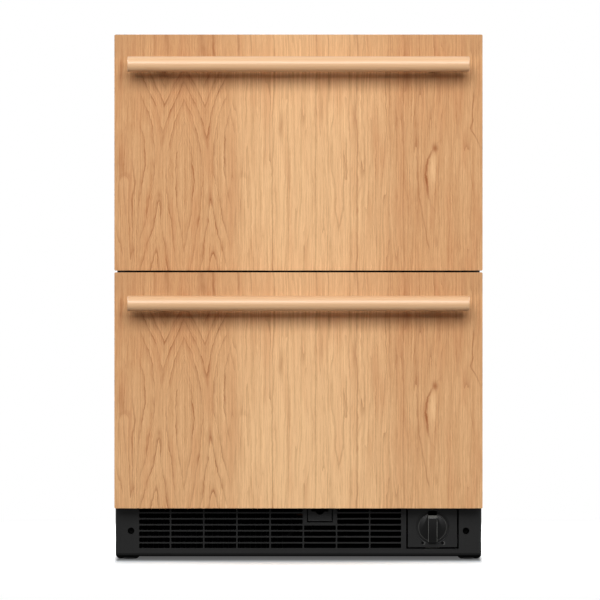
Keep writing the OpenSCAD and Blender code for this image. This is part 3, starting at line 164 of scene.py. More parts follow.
class Finish:
    """One material, built from a Principled shader and the nodes that vary it."""

    def __init__(self, name, **fixed):
        self.material = bpy.data.materials.new(name)
        self.material.use_nodes = True
        self.tree = self.material.node_tree
        self.shader = self.tree.nodes["Principled BSDF"]
        for socket, value in fixed.items():
            self.shader.inputs[socket.replace("_", " ")].default_value = value
        self.place = self.node("TexCoord", out="Object")
        self.x, self.y, self.z = (self.node("SeparateXYZ", (self.place,), out=axis) for axis in "XYZ")

    def node(self, kind, inputs=(), out=0, **settings):
        """Adds a node, plugs in its inputs by place or by name, and returns one of its outputs."""
        prefix = "ShaderNodeTex" if kind in ("Noise", "Voronoi", "WhiteNoise") else "ShaderNode"
        node = self.tree.nodes.new(prefix + kind)
        for setting, value in settings.items():
            setattr(node, setting, value)
        for key, value in inputs.items() if isinstance(inputs, dict) else enumerate(inputs):
            if isinstance(value, Wire):
                self.tree.links.new(value.socket, node.inputs[key])
            else:
                node.inputs[key].default_value = value
        return Wire(self, node.outputs[out])

    def noise(self, vector, scale, detail=2.0, roughness=0.5):
        """Smooth noise about 0.5."""
        return self.node("Noise", {"Vector": vector, "Scale": scale, "Detail": detail,
                                   "Roughness": roughness}, out="Fac")

    def cells(self, scale, out="Distance"):
        return self.node("Voronoi", {"Vector": self.place, "Scale": scale}, out=out)

    def rise(self, wire, low, high, start=0.0, end=1.0):
        """Smooth step from start to end while the wire goes from low to high."""
        return self.node("MapRange", {"Value": wire, "From Min": low, "From Max": high,
                                      "To Min": start, "To Max": end},
                         interpolation_type="SMOOTHSTEP")

    def mix(self, share, first, second):
        """The first colour where the share is 0 and the second where it is 1."""
        return self.node("Mix", {0: share, 6: first, 7: second}, out=2, data_type="RGBA")

    def feed(self, socket, wire):
        self.tree.links.new(wire.socket, self.shader.inputs[socket])

    def paint_shade_where(self, share):
        """Painted shade: dull black faces where the share is 1."""
        shade_shader = self.node("BsdfPrincipled", {"Base Color": PAINTED_SHADE_BLACK, "Roughness": 0.8,
                                            "Specular IOR Level": 0.03}, out="BSDF")
        both = self.node("MixShader", (share, Wire(self, self.shader.outputs[0]), shade_shader))
        self.tree.links.new(both.socket, self.tree.nodes["Material Output"].inputs["Surface"])

    def bump(self, height, depth_mm, strength=1.0):
        """Relief whose height wire of 1 stands depth_mm over a height of 0."""
        normal = self.node("Bump", {"Height": height, "Distance": depth_mm * MM,
                                    "Strength": strength}, out="Normal")
        self.feed("Normal", normal)


def linear(*srgb):
    """An sRGB colour of 0 to 255 as the linear colour that a shader wants."""
    return tuple((c / 255 / 12.92) if c <= 10 else ((c / 255 + 0.055) / 1.055) ** 2.4
                 for c in srgb) + (1.0,)


def darker(colour, share):
    return tuple(c * (1.0 - share) for c in colour[:3]) + (1.0,)


# the dull black of painted shade in recesses and notches
PAINTED_SHADE_BLACK = linear(7, 7, 7)


def length(first, second):
    """How far a point lies from the origin of two wires."""
    return (first * first + second * second).math("SQRT")


# ---------- wood ----------

WOOD_LINE = linear(152, 72, 24)
WOOD_DARK = linear(178, 108, 56)
WOOD_PALE = linear(255, 209, 156)
WOOD_RED = linear(206, 130, 84)
WOOD_STRIP_TONE = linear(186, 152, 112)
DOWEL_DARK = linear(212, 150, 97)
DOWEL_PALE = linear(254, 211, 166)

# The figure of a front, in millimetres: across from its middle, and down from its upper edge.
GRAIN_SLANT = 0.8
ARCH_MIDDLE = -188.0
ARCH_HALF_GAP = 28.0
ARCH_LEAN = 0.053
ARCH_WAIST = 220.0
RING_WIDTH = 15.3
WIDE_LINES = 13.0
NARROW_LINES = 5.3
FORK_MIDDLE = 65.8
KNOT_TOP = 190.2
HOOK_MIDDLE = 209.8

# dark lines over the whole height: across, width, strength
VEINS = (
    (-42.0, 1.3, 0.5), (-17.3, 1.2, 0.35), (28.8, 1.4, 0.46), (48.5, 1.2, 0.36), (84.7, 1.3, 0.35),
    (96.3, 1.6, 0.52), (107.8, 1.2, 0.3), (150.6, 1.2, 0.35), (173.6, 1.3, 0.4),
)
# dark lines in the strip along the upper edge: across, width, strength
STRIP_VEINS = (
    (-236.0, 3.0, 0.4), (-218.0, 4.0, 0.45), (-159.0, 7.0, 0.4),
    (-141.0, 2.4, 0.6), (-100.0, 2.4, 0.5), (-80.0, 2.0, 0.35),
)
# soft upright spots: across, down, half width, half height, strength
DARK_SPOTS = (
    (225.4, 186.9, 5.0, 7.5, 0.8), (-28.8, 150.7, 4.0, 26.0, 0.5), (161.3, 140.9, 3.3, 25.0, 0.4),
    (37.8, 127.7, 3.0, 30.0, 0.4), (93.0, 132.6, 3.6, 40.0, 0.4), (-291.0, 212.0, 11.0, 26.0, 0.34),
)
PALE_SPOTS = ((222.0, 222.0, 6.0, 26.0, 0.3), (FORK_MIDDLE, 282.4, 4.0, 30.0, 0.2))
# round-topped tongues that open downwards: across, down, half width, strength
TONGUES = ((-286.0, 232.0, 10.0, 1.0), (-91.3, 233.0, 8.0, 0.6))


class Board(Finish):
    """The shader of a front, which also knows its own place on the board in millimetres.

    flat runs across from the middle, down from the upper edge, and depth back from the face. across is
    flat with the sway and the jitter of grown wood.
    """

    def __init__(self, name, top):
        super().__init__(name, Specular_IOR_Level=0.05)
        self.depth = (self.y - PANEL_FACE_Y) * TO_MM
        # the lines run slantwise into the board
        self.flat = self.x * TO_MM + self.depth * GRAIN_SLANT
        self.down = (top - self.z) * TO_MM
        sway = self.grain(self.flat * 0.02, self.depth * 0.02, self.down * 0.006, 3.0) - 0.5
        jitter = self.grain(self.flat * 0.12, self.depth * 0.1, self.down * 0.07, 2.0, 0.7) - 0.5
        self.across = self.flat + sway * 9.0 + jitter * 3.0
        wander = self.grain(7.0, self.depth * 0.02, self.down * 0.009, 3.0, 0.6) - 0.5
        self.vein_place = self.across + wander * 12.0
        self.top_strip = self.rise(self.down, 26.0, 46.0, 1.0, 0.0)

    def grain(self, x, y, z, detail=2.0, roughness=0.5):
        """Noise at a point given by three wires or numbers."""
        return self.noise(self.node("CombineXYZ", (x, y, z)), 1.0, detail, roughness)

    def between(self, low, high, soft=12.0):
        """1 between two heights of the board, fading at both ends."""
        return (self.rise(self.down, low - soft, low + soft)
                * self.rise(self.down, high - soft, high + soft, 1.0, 0.0))

    def vein(self, centre, width, strength):
        """An upright line."""
        return ((self.vein_place - centre) / width).hump() * strength

    def spot(self, centre, height, half_width, half_height, strength):
        """A soft ellipse."""
        x = (self.across - centre) / half_width
        z = (self.down - height) / half_height
        return (-(x * x + z * z)).math("EXPONENT") * strength


def arch_lines(b):
    """Growth rings about two upright lines that lean apart downwards.

    Returns how dark they are, the count of rings at each point, and 1 beside their part of the board.
    """
    from_middle = abs(b.across - ARCH_MIDDLE)
    off_line = from_middle - (b.down * ARCH_LEAN + ARCH_HALF_GAP)
    under = b.down - ARCH_WAIST
    # the rings spread above and below the waist
    fall = (-under).above(0.0).below(172.0) ** 2.0 / 7940.0 + under.above(0.0) ** 1.47 * 0.0010
    warp = b.grain(b.flat * 0.03, 0.0, b.down * 0.02, 3.0, 0.6) - 0.5
    rings = abs(off_line) / RING_WIDTH - fall + 0.394 + warp * 0.75
    chance = b.node("WhiteNoise", {"W": rings.math("FLOOR")}, out="Value", noise_dimensions="1D")
    faint = b.grain(b.flat * 0.05, 3.0, b.down * 0.03, 2.0, 0.6)
    strength = (chance * 0.45 + 0.6) * b.rise(faint, 0.34, 0.62, 0.35, 1.0)
    eye = b.rise(from_middle, 24.0, 4.0) * b.rise(b.down, 118.0, 165.0)
    strength = strength * (1.0 - eye * 0.65) * b.rise(b.down, 20.0, 62.0, 0.45, 1.0)
    tip = (off_line / 5.0).hump()
    arches = (rings.saw(7.5) * 0.92 + rings.saw(2.6) * (tip * 0.35 + 0.22)) * strength
    beside = b.rise(from_middle, 60.0, 82.0)
    return arches, rings, beside


def straight_lines(b):
    """Upright lines, strong and weak in turn, with finer ones where the strong ones fade."""
    drift = b.grain(b.across * 0.022, b.depth * 0.02, b.down * 0.0014, 3.0, 0.6) - 0.5
    strong = b.grain(b.across * 0.06, b.depth * 0.05, b.down * 0.005, 3.0, 0.6)
    wide = (b.across / WIDE_LINES + drift * 9.0).saw(5.0) * b.rise(strong, 0.42, 0.64, 0.06, 0.62)
    narrow = (b.across / NARROW_LINES + drift * 17.0).saw(3.0) * b.rise(strong, 0.62, 0.36, 0.04, 0.34)
    return wide.above(narrow)


def knot_marks(b):
    """The hooked line of a knot on the right, with its halo and the lines on both sides of it."""
    drop = b.down - KNOT_TOP
    ragged = b.grain(11.0, b.depth * 0.1, b.down * 0.11, 2.0, 0.7) - 0.5
    bow = (drop - 36.2).below(0.0) ** 2.0 / 118.5
    hook = HOOK_MIDDLE + bow + b.rise(drop, 38.0, 110.0, 0.0, 10.0) + ragged * 5.0
    outer = 195.0 + drop.above(0.0) ** 2.0 / 1250.0
    return [
        b.vein(hook, 2.3, 0.95) * b.between(188, 268, 34.0),
        b.vein(hook - 2.5, 5.0, 0.3) * b.between(206, 262, 20.0),
        b.vein(outer, 1.5, 0.45) * b.between(193, 355),
        b.vein(232.0, 1.2, 0.4) * b.between(197, 256),
    ]


def edge_marks(b):
    """A line near the left edge that bows inwards, and a nicked line near the right edge."""
    bent = ((b.down - 244.0) / 21.0).hump() * 5.0 - 272.0
    nick = 287.0 - ((b.down - 155.0) / 8.0).hump() * 4.0 + (b.down - 160.0).above(0.0) * 0.45
    return [
        b.vein(bent, 1.4, 0.55) * b.between(200, 372, 40.0),
        b.vein(nick, 1.4, 0.6) * b.between(90, 182, 14.0),
    ]


def fork_mark(b):
    """Two lines side by side that draw together downwards and meet."""
    half = b.rise(b.down, 206.0, 256.0, 12.3, 6.3) * b.rise(b.down, 282.0, 325.0, 1.0, 0.0)
    return ((abs(b.across - FORK_MIDDLE) - half) / 1.4).hump() * b.between(174, 324, 10.0) * 0.4


def tongue_marks(b, centre, height, half, share):
    """The dark cap and rim of a tongue, and its paler inside."""
    up = (height + half * 1.3 - b.down).above(0.0) / 1.3
    edge = length(b.across - centre, up) - half
    cap = (b.rise(edge, -1.0, 1.5) * b.rise(edge, 1.5, 10.0, 1.0, 0.0)
           * b.rise(b.down, height - 2.0, height + 18.0, 1.0, 0.0) * 0.3)
    rim = (edge / 1.3).hump() * b.rise(b.down, height + 10.0, height + 90.0, 0.3, 0.0)
    inside = b.rise(edge, -5.0, 0.0, 0.14, 0.0) * b.rise(b.down, height, height + 60.0, 1.0, 0.0)
    return [cap * share, rim * share], inside * share


def single_features(b):
    """The marks that a front has only once: a list of dark ones, and the sum of the pale ones."""
    marks = [b.vein(*vein) for vein in VEINS]
    marks += [b.vein(*vein) * b.top_strip for vein in STRIP_VEINS]
    marks += [b.spot(*spot) for spot in DARK_SPOTS]
    marks += knot_marks(b) + edge_marks(b) + [fork_mark(b)]
    pale = b.spot(*PALE_SPOTS[0]) + b.spot(*PALE_SPOTS[1])
    for tongue in TONGUES:
        dark, inside = tongue_marks(b, *tongue)
        marks += dark
        pale = pale + inside
    return marks, pale


def wood_front_finish(name, top, painted_light_below=0.0):
    """Upright veneer: two columns of arches on the left, straight lines, a fork and a knot on the right.

    top is the height of the front's upper edge. A front may be given painted light that grows towards its
    lower edge, making up for the lamps' falloff.
    """
    b = Board(name, top)
    arches, rings, beside = arch_lines(b)
    lines = arches * (1.0 - beside) + straight_lines(b) * beside
    marks, pale = single_features(b)
    for mark in marks:
        lines = lines.above(mark)
    patch = b.grain(b.across * 0.05, 5.0, b.down * 0.014)
    lines = lines * b.rise(patch, 0.3, 0.62, 0.75, 1.15)

    # fine streaks that follow the rings, short flecks and pores
    flow = b.across * beside + rings * (1.0 - beside) * RING_WIDTH
    along = b.grain(flow * 0.5, b.depth * 0.5, b.down * 0.008, 4.0, 0.85) - 0.5
    streaks = b.grain(b.across * 0.6, b.depth * 0.5, b.down * 0.006, 4.0, 0.85) - 0.5
    flecks = b.grain(b.across * 0.9, b.depth * 0.8, b.down * 0.07, 2.0, 0.7) - 0.5
    pores = b.rise(b.grain(b.across * 1.1, b.depth * 1.1, b.down * 0.05, 2.0, 0.6), 0.50, 0.72)
    broad = b.grain(b.across * 0.06, b.depth * 0.05, b.down * 0.006) - 0.5

    # tone across the board: paler in the middle, partly the wood's own tone and partly painted light, and on
    # the lower front painted light growing towards its lower edge
    tone = (b.rise(b.down, 60.0, 380.0, 0.0, painted_light_below) + b.rise(b.flat, -165.0, -25.0, 0.53, 0.87)
            - b.rise(b.flat, 55.0, 190.0, 0.0, 0.32))
    level = (tone + streaks * 1.5 + along * 0.9 + flecks * 0.22 + broad * 0.12 + pale
             - pores * 0.12 - b.top_strip * 0.05)
    ground = b.mix(level.above(0.0).below(1.0), WOOD_DARK, WOOD_PALE)
    flush = b.rise(b.grain(b.across * 0.05, b.depth * 0.02, b.down * 0.006), 0.46, 0.70, 0.0, 0.2)
    ground = b.mix(flush, ground, WOOD_RED)
    shade = lines * (b.grain(b.across * 0.3, 0.0, b.down * 0.06) * 0.8 + 0.35)
    figure = b.mix(shade.below(1.0), ground, WOOD_LINE)
    # the strip along the upper edge is mixed towards a duller, greyer tone
    b.feed("Base Color", b.mix(b.top_strip * 0.16, figure, WOOD_STRIP_TONE))
    b.feed("Roughness", 0.5 + pores * 0.12 + lines * 0.06)
    b.bump(1.0 - lines * 0.5 - pores * 0.5, 0.03, 0.4)
    return b.material


def dowel_finish(name):
    """Pale turned wood with its grain along the bar."""
    f = Finish(name, Specular_IOR_Level=0.5)
    x, y, z = f.x * TO_MM, f.y * TO_MM, f.z * TO_MM
    sway = f.noise(f.node("CombineXYZ", (x * 0.006, y * 0.03, z * 0.03)), 1.0) - 0.5
    lines = ((z * 0.9 + y * 0.45 + x * 0.012 + sway * 14.0) / 4.0).saw(4.0)
    streaks = f.noise(f.node("CombineXYZ", (x * 0.012, y * 0.8, z * 0.8)), 1.0, 3.0, 0.6) - 0.5
    level = (0.72 + streaks * 0.4 - lines * 0.14).above(0.0).below(1.0)
    f.feed("Base Color", f.mix(level, DOWEL_DARK, DOWEL_PALE))
    f.feed("Roughness", 0.34 + lines * 0.1)
    f.bump(level, 0.03, 0.5)
    return f.material


# ---------- sizes of the knob and its scale ----------

# the knob, in metres
KNOB_HEIGHT = 53.5 * MM
KNOB_GRIP_STANDS = 14.0 * MM
KNOB_SKIRT_DEPTH = 7.0 * MM
KNOB_SKIRT_RADIUS = 23.5 * MM
KNOB_GRIP_WIDTH = 15.2 * MM
KNOB_GRIP_ABOVE = 20.4 * MM
KNOB_GRIP_BELOW = 24.0 * MM
KNOB_SLOPE_TALL = 5.0 * MM
KNOB_SLOPE_BACK = 1.25 * MM
KNOB_NOTCH_PLACE = 22.0 * MM
KNOB_NOTCH_SIZE = (14.0 * MM, 7.0 * MM, 10.0 * MM)
KNOB_STEM_RADIUS = 4.0 * MM
KNOB_STEM_LENGTH = 15.0 * MM
KNOB_STEM_PLACE = 7.4 * MM
KNOB_EASING = 0.9 * MM

# the two end marks of the knob's scale, in millimetres
MARK_ACROSS = 16.4
MARK_HEIGHT = 27.3


# ---------- plastics, rubber and foam ----------

def moulded_finish(name, colour, roughness, grain_mm=0.5, grain_depth=0.02, specular=0.5, face_y=None):
    """Moulded plastic with a fine cast-in texture and a slightly uneven sheen.

    A moulding that is given its face's y gets painted shade behind that face: its recesses are dull black.
    """
    f = Finish(name, Specular_IOR_Level=specular)
    broad = f.noise(f.place, 9.0, 3.0)
    grain = f.noise(f.place, TO_MM / grain_mm)
    f.feed("Base Color", f.mix(broad, darker(colour, 0.08), colour))
    f.feed("Roughness", roughness + (broad - 0.5) * 0.08 + (grain - 0.5) * 0.1)
    f.bump(grain, grain_depth)
    if face_y is not None:
        # painted shade: faces recessed behind the face are dull black
        f.paint_shade_where(f.rise(f.y, face_y + 1.5 * MM, face_y + 4.5 * MM))
    return f.material


def knob_finish(name):
    """Black moulding with painted highlights on the grip's edges and upper end and round the skirt's rim,
    and painted shade in its index notch.
    """
    low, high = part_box("control_knob")
    front = low.y
    face = front + KNOB_GRIP_STANDS
    f = Finish(name, Specular_IOR_Level=0.22)
    across = (f.x - (low.x + high.x) / 2) * TO_MM
    up = (f.z - KNOB_HEIGHT) * TO_MM
    # painted highlights: the grip's side edges, the skirt's rim and the grip's sloped upper end are paler
    # where they would catch the lamps
    edge = f.rise(abs(across), 6.5, 7.4) * f.rise(f.y, front + 3.0 * MM, front + 1.0 * MM)
    rim = (f.rise(length(across, up), 22.3, 23.2) * f.rise(f.y, face + 2.0 * MM, face + 0.6 * MM)
           * f.rise(f.y, face - 0.6 * MM, face))
    end = f.rise(up, 15.5, 19.5) * f.rise(f.y, front + 3.0 * MM, front + 1.4 * MM)
    broad = f.noise(f.place, 60.0, 3.0)
    painted_highlight = (edge * 0.75 + rim * 0.4 + end) * (broad * 0.6 + 0.7)
    f.feed("Base Color", f.mix(painted_highlight.below(1.0), linear(6, 6, 6), linear(146, 146, 142)))
    f.feed("Roughness", 0.24 + (broad - 0.5) * 0.1)
    f.bump(f.noise(f.place, 1600.0), 0.004)
    # painted shade: the faces inside the index notch are dull black
    painted_notch_shade = (f.rise(abs(across), 7.3, 6.9) * f.rise(up, 15.5, 16.5)
                * f.rise(f.y, face + 0.2 * MM, face + 0.6 * MM)
                * f.rise(f.y, face + 6.9 * MM, face + 6.4 * MM))
    f.paint_shade_where(painted_notch_shade)
    return f.material


def plate_finish(name):
    """The moulding of the base with the two end marks of the knob's scale: dimples filled with painted
    shade, with a painted highlight on the right of their lip.
    """
    low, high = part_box("control_plate")
    f = Finish(name, Specular_IOR_Level=0.2)
    broad = f.noise(f.place, 9.0, 3.0)
    grain = f.noise(f.place, 2000.0)
    across = f.x * TO_MM - (low.x + high.x) / 2 * TO_MM
    up = f.z * TO_MM - MARK_HEIGHT
    # painted shade inside each dimple of the end marks, and a painted highlight on the right side of its lip
    painted_dimple_shade, painted_lip_highlight = 0.0, 0.0
    for side in (-1, 1):
        beside = across - side * MARK_ACROSS
        painted_dimple_shade = f.rise(length(beside, up), 2.6, 2.0) + painted_dimple_shade
        ring = ((length(beside - 1.2, up) - 2.6) / 0.6).hump()
        painted_lip_highlight = ring * f.rise(beside, 0.6, 2.2) + painted_lip_highlight
    face = f.rise(f.y, low.y + 1.0 * MM, low.y + 0.4 * MM)
    black = f.mix(broad, linear(13, 13, 13), linear(15, 15, 15))
    f.feed("Base Color", f.mix((painted_lip_highlight * face).below(1.0), black, linear(88, 88, 86)))
    f.feed("Roughness", 0.34 + (grain - 0.5) * 0.1)
    f.bump(grain, 0.01)
    # painted shade: the plate's recess behind the knob's notch, and the dimples, are dull black
    painted_shade_behind_notch = (f.rise(abs(across), 8.0, 7.0) * f.rise(f.z, 70.0 * MM, 72.0 * MM)
                    * f.rise(f.y, low.y + 2.0 * MM, low.y + 3.0 * MM))
    f.paint_shade_where((painted_dimple_shade + painted_shade_behind_notch).below(1.0))
    return f.material


def foam_finish(name):
    """Rigid foam: a tan skin with fine cells."""
    f = Finish(name, Roughness=0.85)
    broad = f.noise(f.place, 14.0, 3.0)
    f.feed("Base Color", f.mix(broad, linear(214, 196, 132), linear(240, 227, 176)))
    f.bump(f.cells(420.0), 0.5)
    return f.material


# ---------- metals ----------

def painted_steel_finish(name, colour, roughness, specular, peel_mm=2.2):
    """Baked paint on sheet steel with a faint orange peel."""
    f = Finish(name, Specular_IOR_Level=specular)
    peel = f.noise(f.place, TO_MM / peel_mm)
    broad = f.noise(f.place, 5.0, 4.0)
    f.feed("Base Color", f.mix(broad, darker(colour, 0.15), colour))
    f.feed("Roughness", roughness + (broad - 0.5) * 0.12)
    f.bump(peel, 0.03, 0.7)
    return f.material


def galvanised_finish(name):
    """Zinc-coated sheet with its spangle."""
    f = Finish(name, Metallic=0.85)
    tint = f.node("SeparateXYZ", (f.cells(170.0, "Color"),), out="X")
    broad = f.noise(f.place, 6.0, 3.0)
    f.feed("Base Color", f.mix(tint * 0.7 + broad * 0.3, linear(168, 171, 174), linear(196, 199, 202)))
    f.feed("Roughness", 0.40 + tint * 0.10 + (broad - 0.5) * 0.1)
    f.bump(f.noise(f.place, 300.0), 0.01)
    return f.material


def drawn_metal_finish(name, colour, roughness, grain):
    """Metal with fine lines along its length, on the axis whose grain scale is small."""
    f = Finish(name, Metallic=1.0)
    stretched = f.node("VectorMath", (f.place, tuple(2200.0 * g for g in grain)), operation="MULTIPLY")
    lines = f.noise(stretched, 1.0)
    broad = f.noise(f.place, 12.0, 3.0)
    f.feed("Base Color", f.mix(broad, darker(colour, 0.1), colour))
    f.feed("Roughness", roughness + (lines - 0.5) * 0.16 + (broad - 0.5) * 0.08)
    f.bump(lines, 0.006)
    return f.material


def leg_finish(name):
    """Dark zinc with the rolled thread of the leg's rod above its hexagon."""
    f = Finish(name, Metallic=0.7)
    turns = (f.z * TO_MM / 1.5).math("FRACT")
    ridge = abs(turns - 0.5) * 2.0 * f.rise(f.z, 9.0 * MM, 10.0 * MM)
    broad = f.noise(f.place, 40.0, 3.0)
    f.feed("Base Color", f.mix(ridge * 0.5 + broad * 0.4, linear(34, 34, 35), linear(74, 74, 76)))
    f.feed("Roughness", 0.36 + broad * 0.12)
    f.bump(ridge, 0.5)
    return f.material


def copper_finish(name):
    """Copper tube that has darkened, more so in patches."""
    f = Finish(name, Metallic=1.0)
    patch = f.rise(f.noise(f.place, 30.0, 4.0, 0.6), 0.42, 0.62)
    f.feed("Base Color", f.mix(patch, linear(74, 44, 31), linear(44, 28, 22)))
    f.feed("Roughness", 0.34 + patch * 0.2)
    f.bump(f.noise(f.place, 400.0), 0.01)
    return f.material


# ---------- which piece has which finish ----------

# the finish of each material slot
FINISHES = {
    "black_steel": painted_steel_finish("black_paint", linear(24, 24, 25), 0.5, 0.2),
    "galvanised_steel": galvanised_finish("galvanised_sheet"),
    "foam": foam_finish("rigid_foam"),
    "liner_plastic": moulded_finish("liner_white", linear(236, 237, 236), 0.34, 0.9, 0.015),
    "black_plastic": moulded_finish("black_moulding", linear(14, 14, 14), 0.34, 0.5, 0.01, 0.2,
                                    face_y=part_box("base_grille")[0].y),
    "screw_steel": painted_steel_finish("black_screw", linear(4, 4, 4), 0.6, 0.04),
    "pale_plastic": moulded_finish("pale_nylon", linear(214, 212, 202), 0.4),
    "compressor_black": painted_steel_finish("compressor_paint", linear(5, 5, 6), 0.6, 0.03, 4.0),
    "black_rubber": moulded_finish("black_rubber", linear(9, 9, 9), 0.75, 0.4, 0.02, 0.05),
    "coil_steel": painted_steel_finish("coil_paint", linear(6, 6, 7), 0.6, 0.05),
    "motor_steel": drawn_metal_finish("motor_shell", linear(150, 152, 155), 0.38, (1, 0.05, 1)),
    "copper": copper_finish("copper_tube"),
    "aluminium": drawn_metal_finish("fin_aluminium", linear(205, 207, 210), 0.3, (1, 1, 0.03)),
    "slide_steel": drawn_metal_finish("zinc_plate", linear(188, 191, 196), 0.28, (1, 0.02, 1)),
    "ball_steel": drawn_metal_finish("polished_steel", linear(214, 216, 220), 0.12, (1, 0.05, 1)),
    "handle_wood": dowel_finish("dowel_wood"),
    "post_steel": drawn_metal_finish("satin_stainless", linear(196, 197, 200), 0.3, (1, 0.04, 1)),
    "gasket_vinyl": moulded_finish("gasket_vinyl", linear(96, 97, 99), 0.5, 0.6, 0.02, 0.4),
    "bin_plastic": moulded_finish("bin_plastic", linear(224, 230, 234), 0.3, 0.8, 0.012),
    "leg_steel": leg_finish("leg_zinc"),
}

# pieces whose finish differs from the rest of their slot
OWN = {
    "upper_wood_panel": wood_front_finish("wood_front_upper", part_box("upper_wood_panel")[1].z),
    # the lower front has painted light towards its lower edge, where the lamps fall off
    "lower_wood_panel": wood_front_finish("wood_front_lower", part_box("lower_wood_panel")[1].z, 0.11),
    "control_knob": knob_finish("knob_moulding"),
    "control_plate": plate_finish("plate_moulding"),
    "rear_cover": painted_steel_finish("cover_paint", linear(20, 20, 21), 0.5, 0.22),
    "condenser_fan_motor": painted_steel_finish("motor_paint", linear(9, 9, 10), 0.6, 0.05),
    "condenser_fan_blade": moulded_finish("blade_moulding", linear(10, 10, 10), 0.55, 0.5, 0.02, 0.06),
    "base_pan": painted_steel_finish("pan_paint", linear(6, 6, 7), 0.62, 0.06),
    "fan_shroud": moulded_finish("shroud_moulding", linear(7, 7, 7), 0.6, 0.5, 0.02, 0.08),
    "relay_cover": moulded_finish("relay_moulding", linear(9, 9, 9), 0.5, 0.5, 0.02, 0.12),
}


def slot_of(node):
    """The record's material slot of a CAD node, which its imported material is named after."""
    return nodes[node].data.materials[0].name.split(".")[0]


SLOTS = {name: slot_of(name) for name in nodes}


def finish_of(node):
    return OWN.get(node) or FINISHES[SLOTS[node]]


# ---------- modelling tools ----------

MERGE_DISTANCE = 1e-6
FLAT_ANGLE = math.radians(0.5)
SHARP_ANGLE = math.radians(40)


def select_only(piece):
    bpy.ops.object.select_all(action="DESELECT")
    piece.select_set(True)
    bpy.context.view_layer.objects.active = piece


def eased(node, width_mm):
    """A merged copy of a CAD node with its edges eased, which stands for the node."""
    source = nodes[node]
    piece = bpy.data.objects.new(node + "_eased", source.data.copy())
    bpy.context.scene.collection.objects.link(piece)
    select_only(piece)
    bpy.ops.object.mode_set(mode="EDIT")
    bpy.ops.mesh.select_all(action="SELECT")
    bpy.ops.mesh.remove_doubles(threshold=MERGE_DISTANCE)
    bpy.ops.mesh.dissolve_limited(angle_limit=FLAT_ANGLE)
    bpy.ops.mesh.customdata_custom_splitnormals_clear()
    bpy.ops.object.mode_set(mode="OBJECT")
    bevel = piece.modifiers.new("ease", "BEVEL")
    bevel.width = width_mm * MM
    bevel.segments = 2
    bevel.limit_method = "ANGLE"
    bevel.angle_limit = SHARP_ANGLE
    bpy.ops.object.modifier_apply(modifier=bevel.name)
    bpy.ops.object.shade_smooth_by_angle(angle=SHARP_ANGLE)
    weigh = piece.modifiers.new("weigh", "WEIGHTED_NORMAL")
    weigh.keep_sharp = True
    bpy.ops.object.modifier_apply(modifier=weigh.name)
    piece.data.materials.clear()
    piece.data.materials.append(finish_of(node))
    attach(piece, source["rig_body"])
    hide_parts(node)


def begin(name, primitive, **settings):
    """Adds one primitive and lays its place into its mesh."""
    bpy.ops.object.select_all(action="DESELECT")
    getattr(bpy.ops.mesh, "primitive_" + primitive + "_add")(**settings)
    piece = bpy.context.object
    piece.name = name
    bpy.ops.object.transform_apply(location=True, rotation=True, scale=True)
    return piece


def edit(piece, mode, chosen):
    """Opens the piece in edit mode with the chosen vertices, edges or faces selected."""
    select_only(piece)
    bpy.ops.object.mode_set(mode="EDIT")
    bpy.ops.mesh.select_mode(type=mode)
    bpy.ops.mesh.select_all(action="DESELECT")
    mesh = bmesh.from_edit_mesh(piece.data)
    for part in {"VERT": mesh.verts, "EDGE": mesh.edges, "FACE": mesh.faces}[mode]:
        part.select_set(chosen(part))
    mesh.select_flush_mode()
    bmesh.update_edit_mesh(piece.data)


def finish_edit():
    bpy.ops.object.mode_set(mode="OBJECT")


def combine(piece, other, operation):
    """Boolean of the piece with another, which is used up."""
    select_only(piece)
    cut = piece.modifiers.new("cut", "BOOLEAN")
    cut.operation = operation
    cut.solver = "EXACT"
    cut.object = other
    bpy.ops.object.modifier_apply(modifier=cut.name)
    bpy.data.objects.remove(other)


def gather(pieces, name):
    """Joins the pieces into the first."""
    bpy.ops.object.select_all(action="DESELECT")
    for piece in pieces:
        piece.select_set(True)
    bpy.context.view_layer.objects.active = pieces[0]
    bpy.ops.object.join()
    pieces[0].name = name
    return pieces[0]


def copy_at(model, place, turn=None):
    """A copy of a modelled piece with its own mesh, turned and then set down at the place."""
    piece = bpy.data.objects.new(model.name, model.data.copy())
    bpy.context.scene.collection.objects.link(piece)
    if turn:
        piece.data.transform(turn)
    piece.data.transform(Matrix.Translation(place))
    return piece


def close_piece(piece, material, body, angle, replaced=None):
    """Smooths the piece and says what it is made of, rides on and stands for."""
    select_only(piece)
    bpy.ops.object.shade_smooth_by_angle(angle=math.radians(angle))
    piece.data.materials.clear()
    piece.data.materials.append(material)
    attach(piece, body)
    if replaced:
        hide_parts(replaced)


# ---------- knob ----------

def knob_grip(x, front, back):
    """A block whose upper end slopes back at its front."""
    low = KNOB_HEIGHT - KNOB_GRIP_BELOW
    high = KNOB_HEIGHT + KNOB_GRIP_ABOVE
    grip = begin("grip", "cube", size=1.0, location=(x, (front + back) / 2, (low + high) / 2),
                 scale=(KNOB_GRIP_WIDTH, back - front, high - low))
    edit(grip, "FACE", lambda face: True)
    bpy.ops.mesh.bisect(plane_co=(x, 0, high - KNOB_SLOPE_TALL), plane_no=(0, 0, 1))
    finish_edit()
    near = 0.1 * MM
    edit(grip, "VERT", lambda vertex: vertex.co.z > high - near and vertex.co.y < front + near)
    bpy.ops.transform.translate(value=(0, KNOB_SLOPE_BACK, 0))
    finish_edit()
    return grip


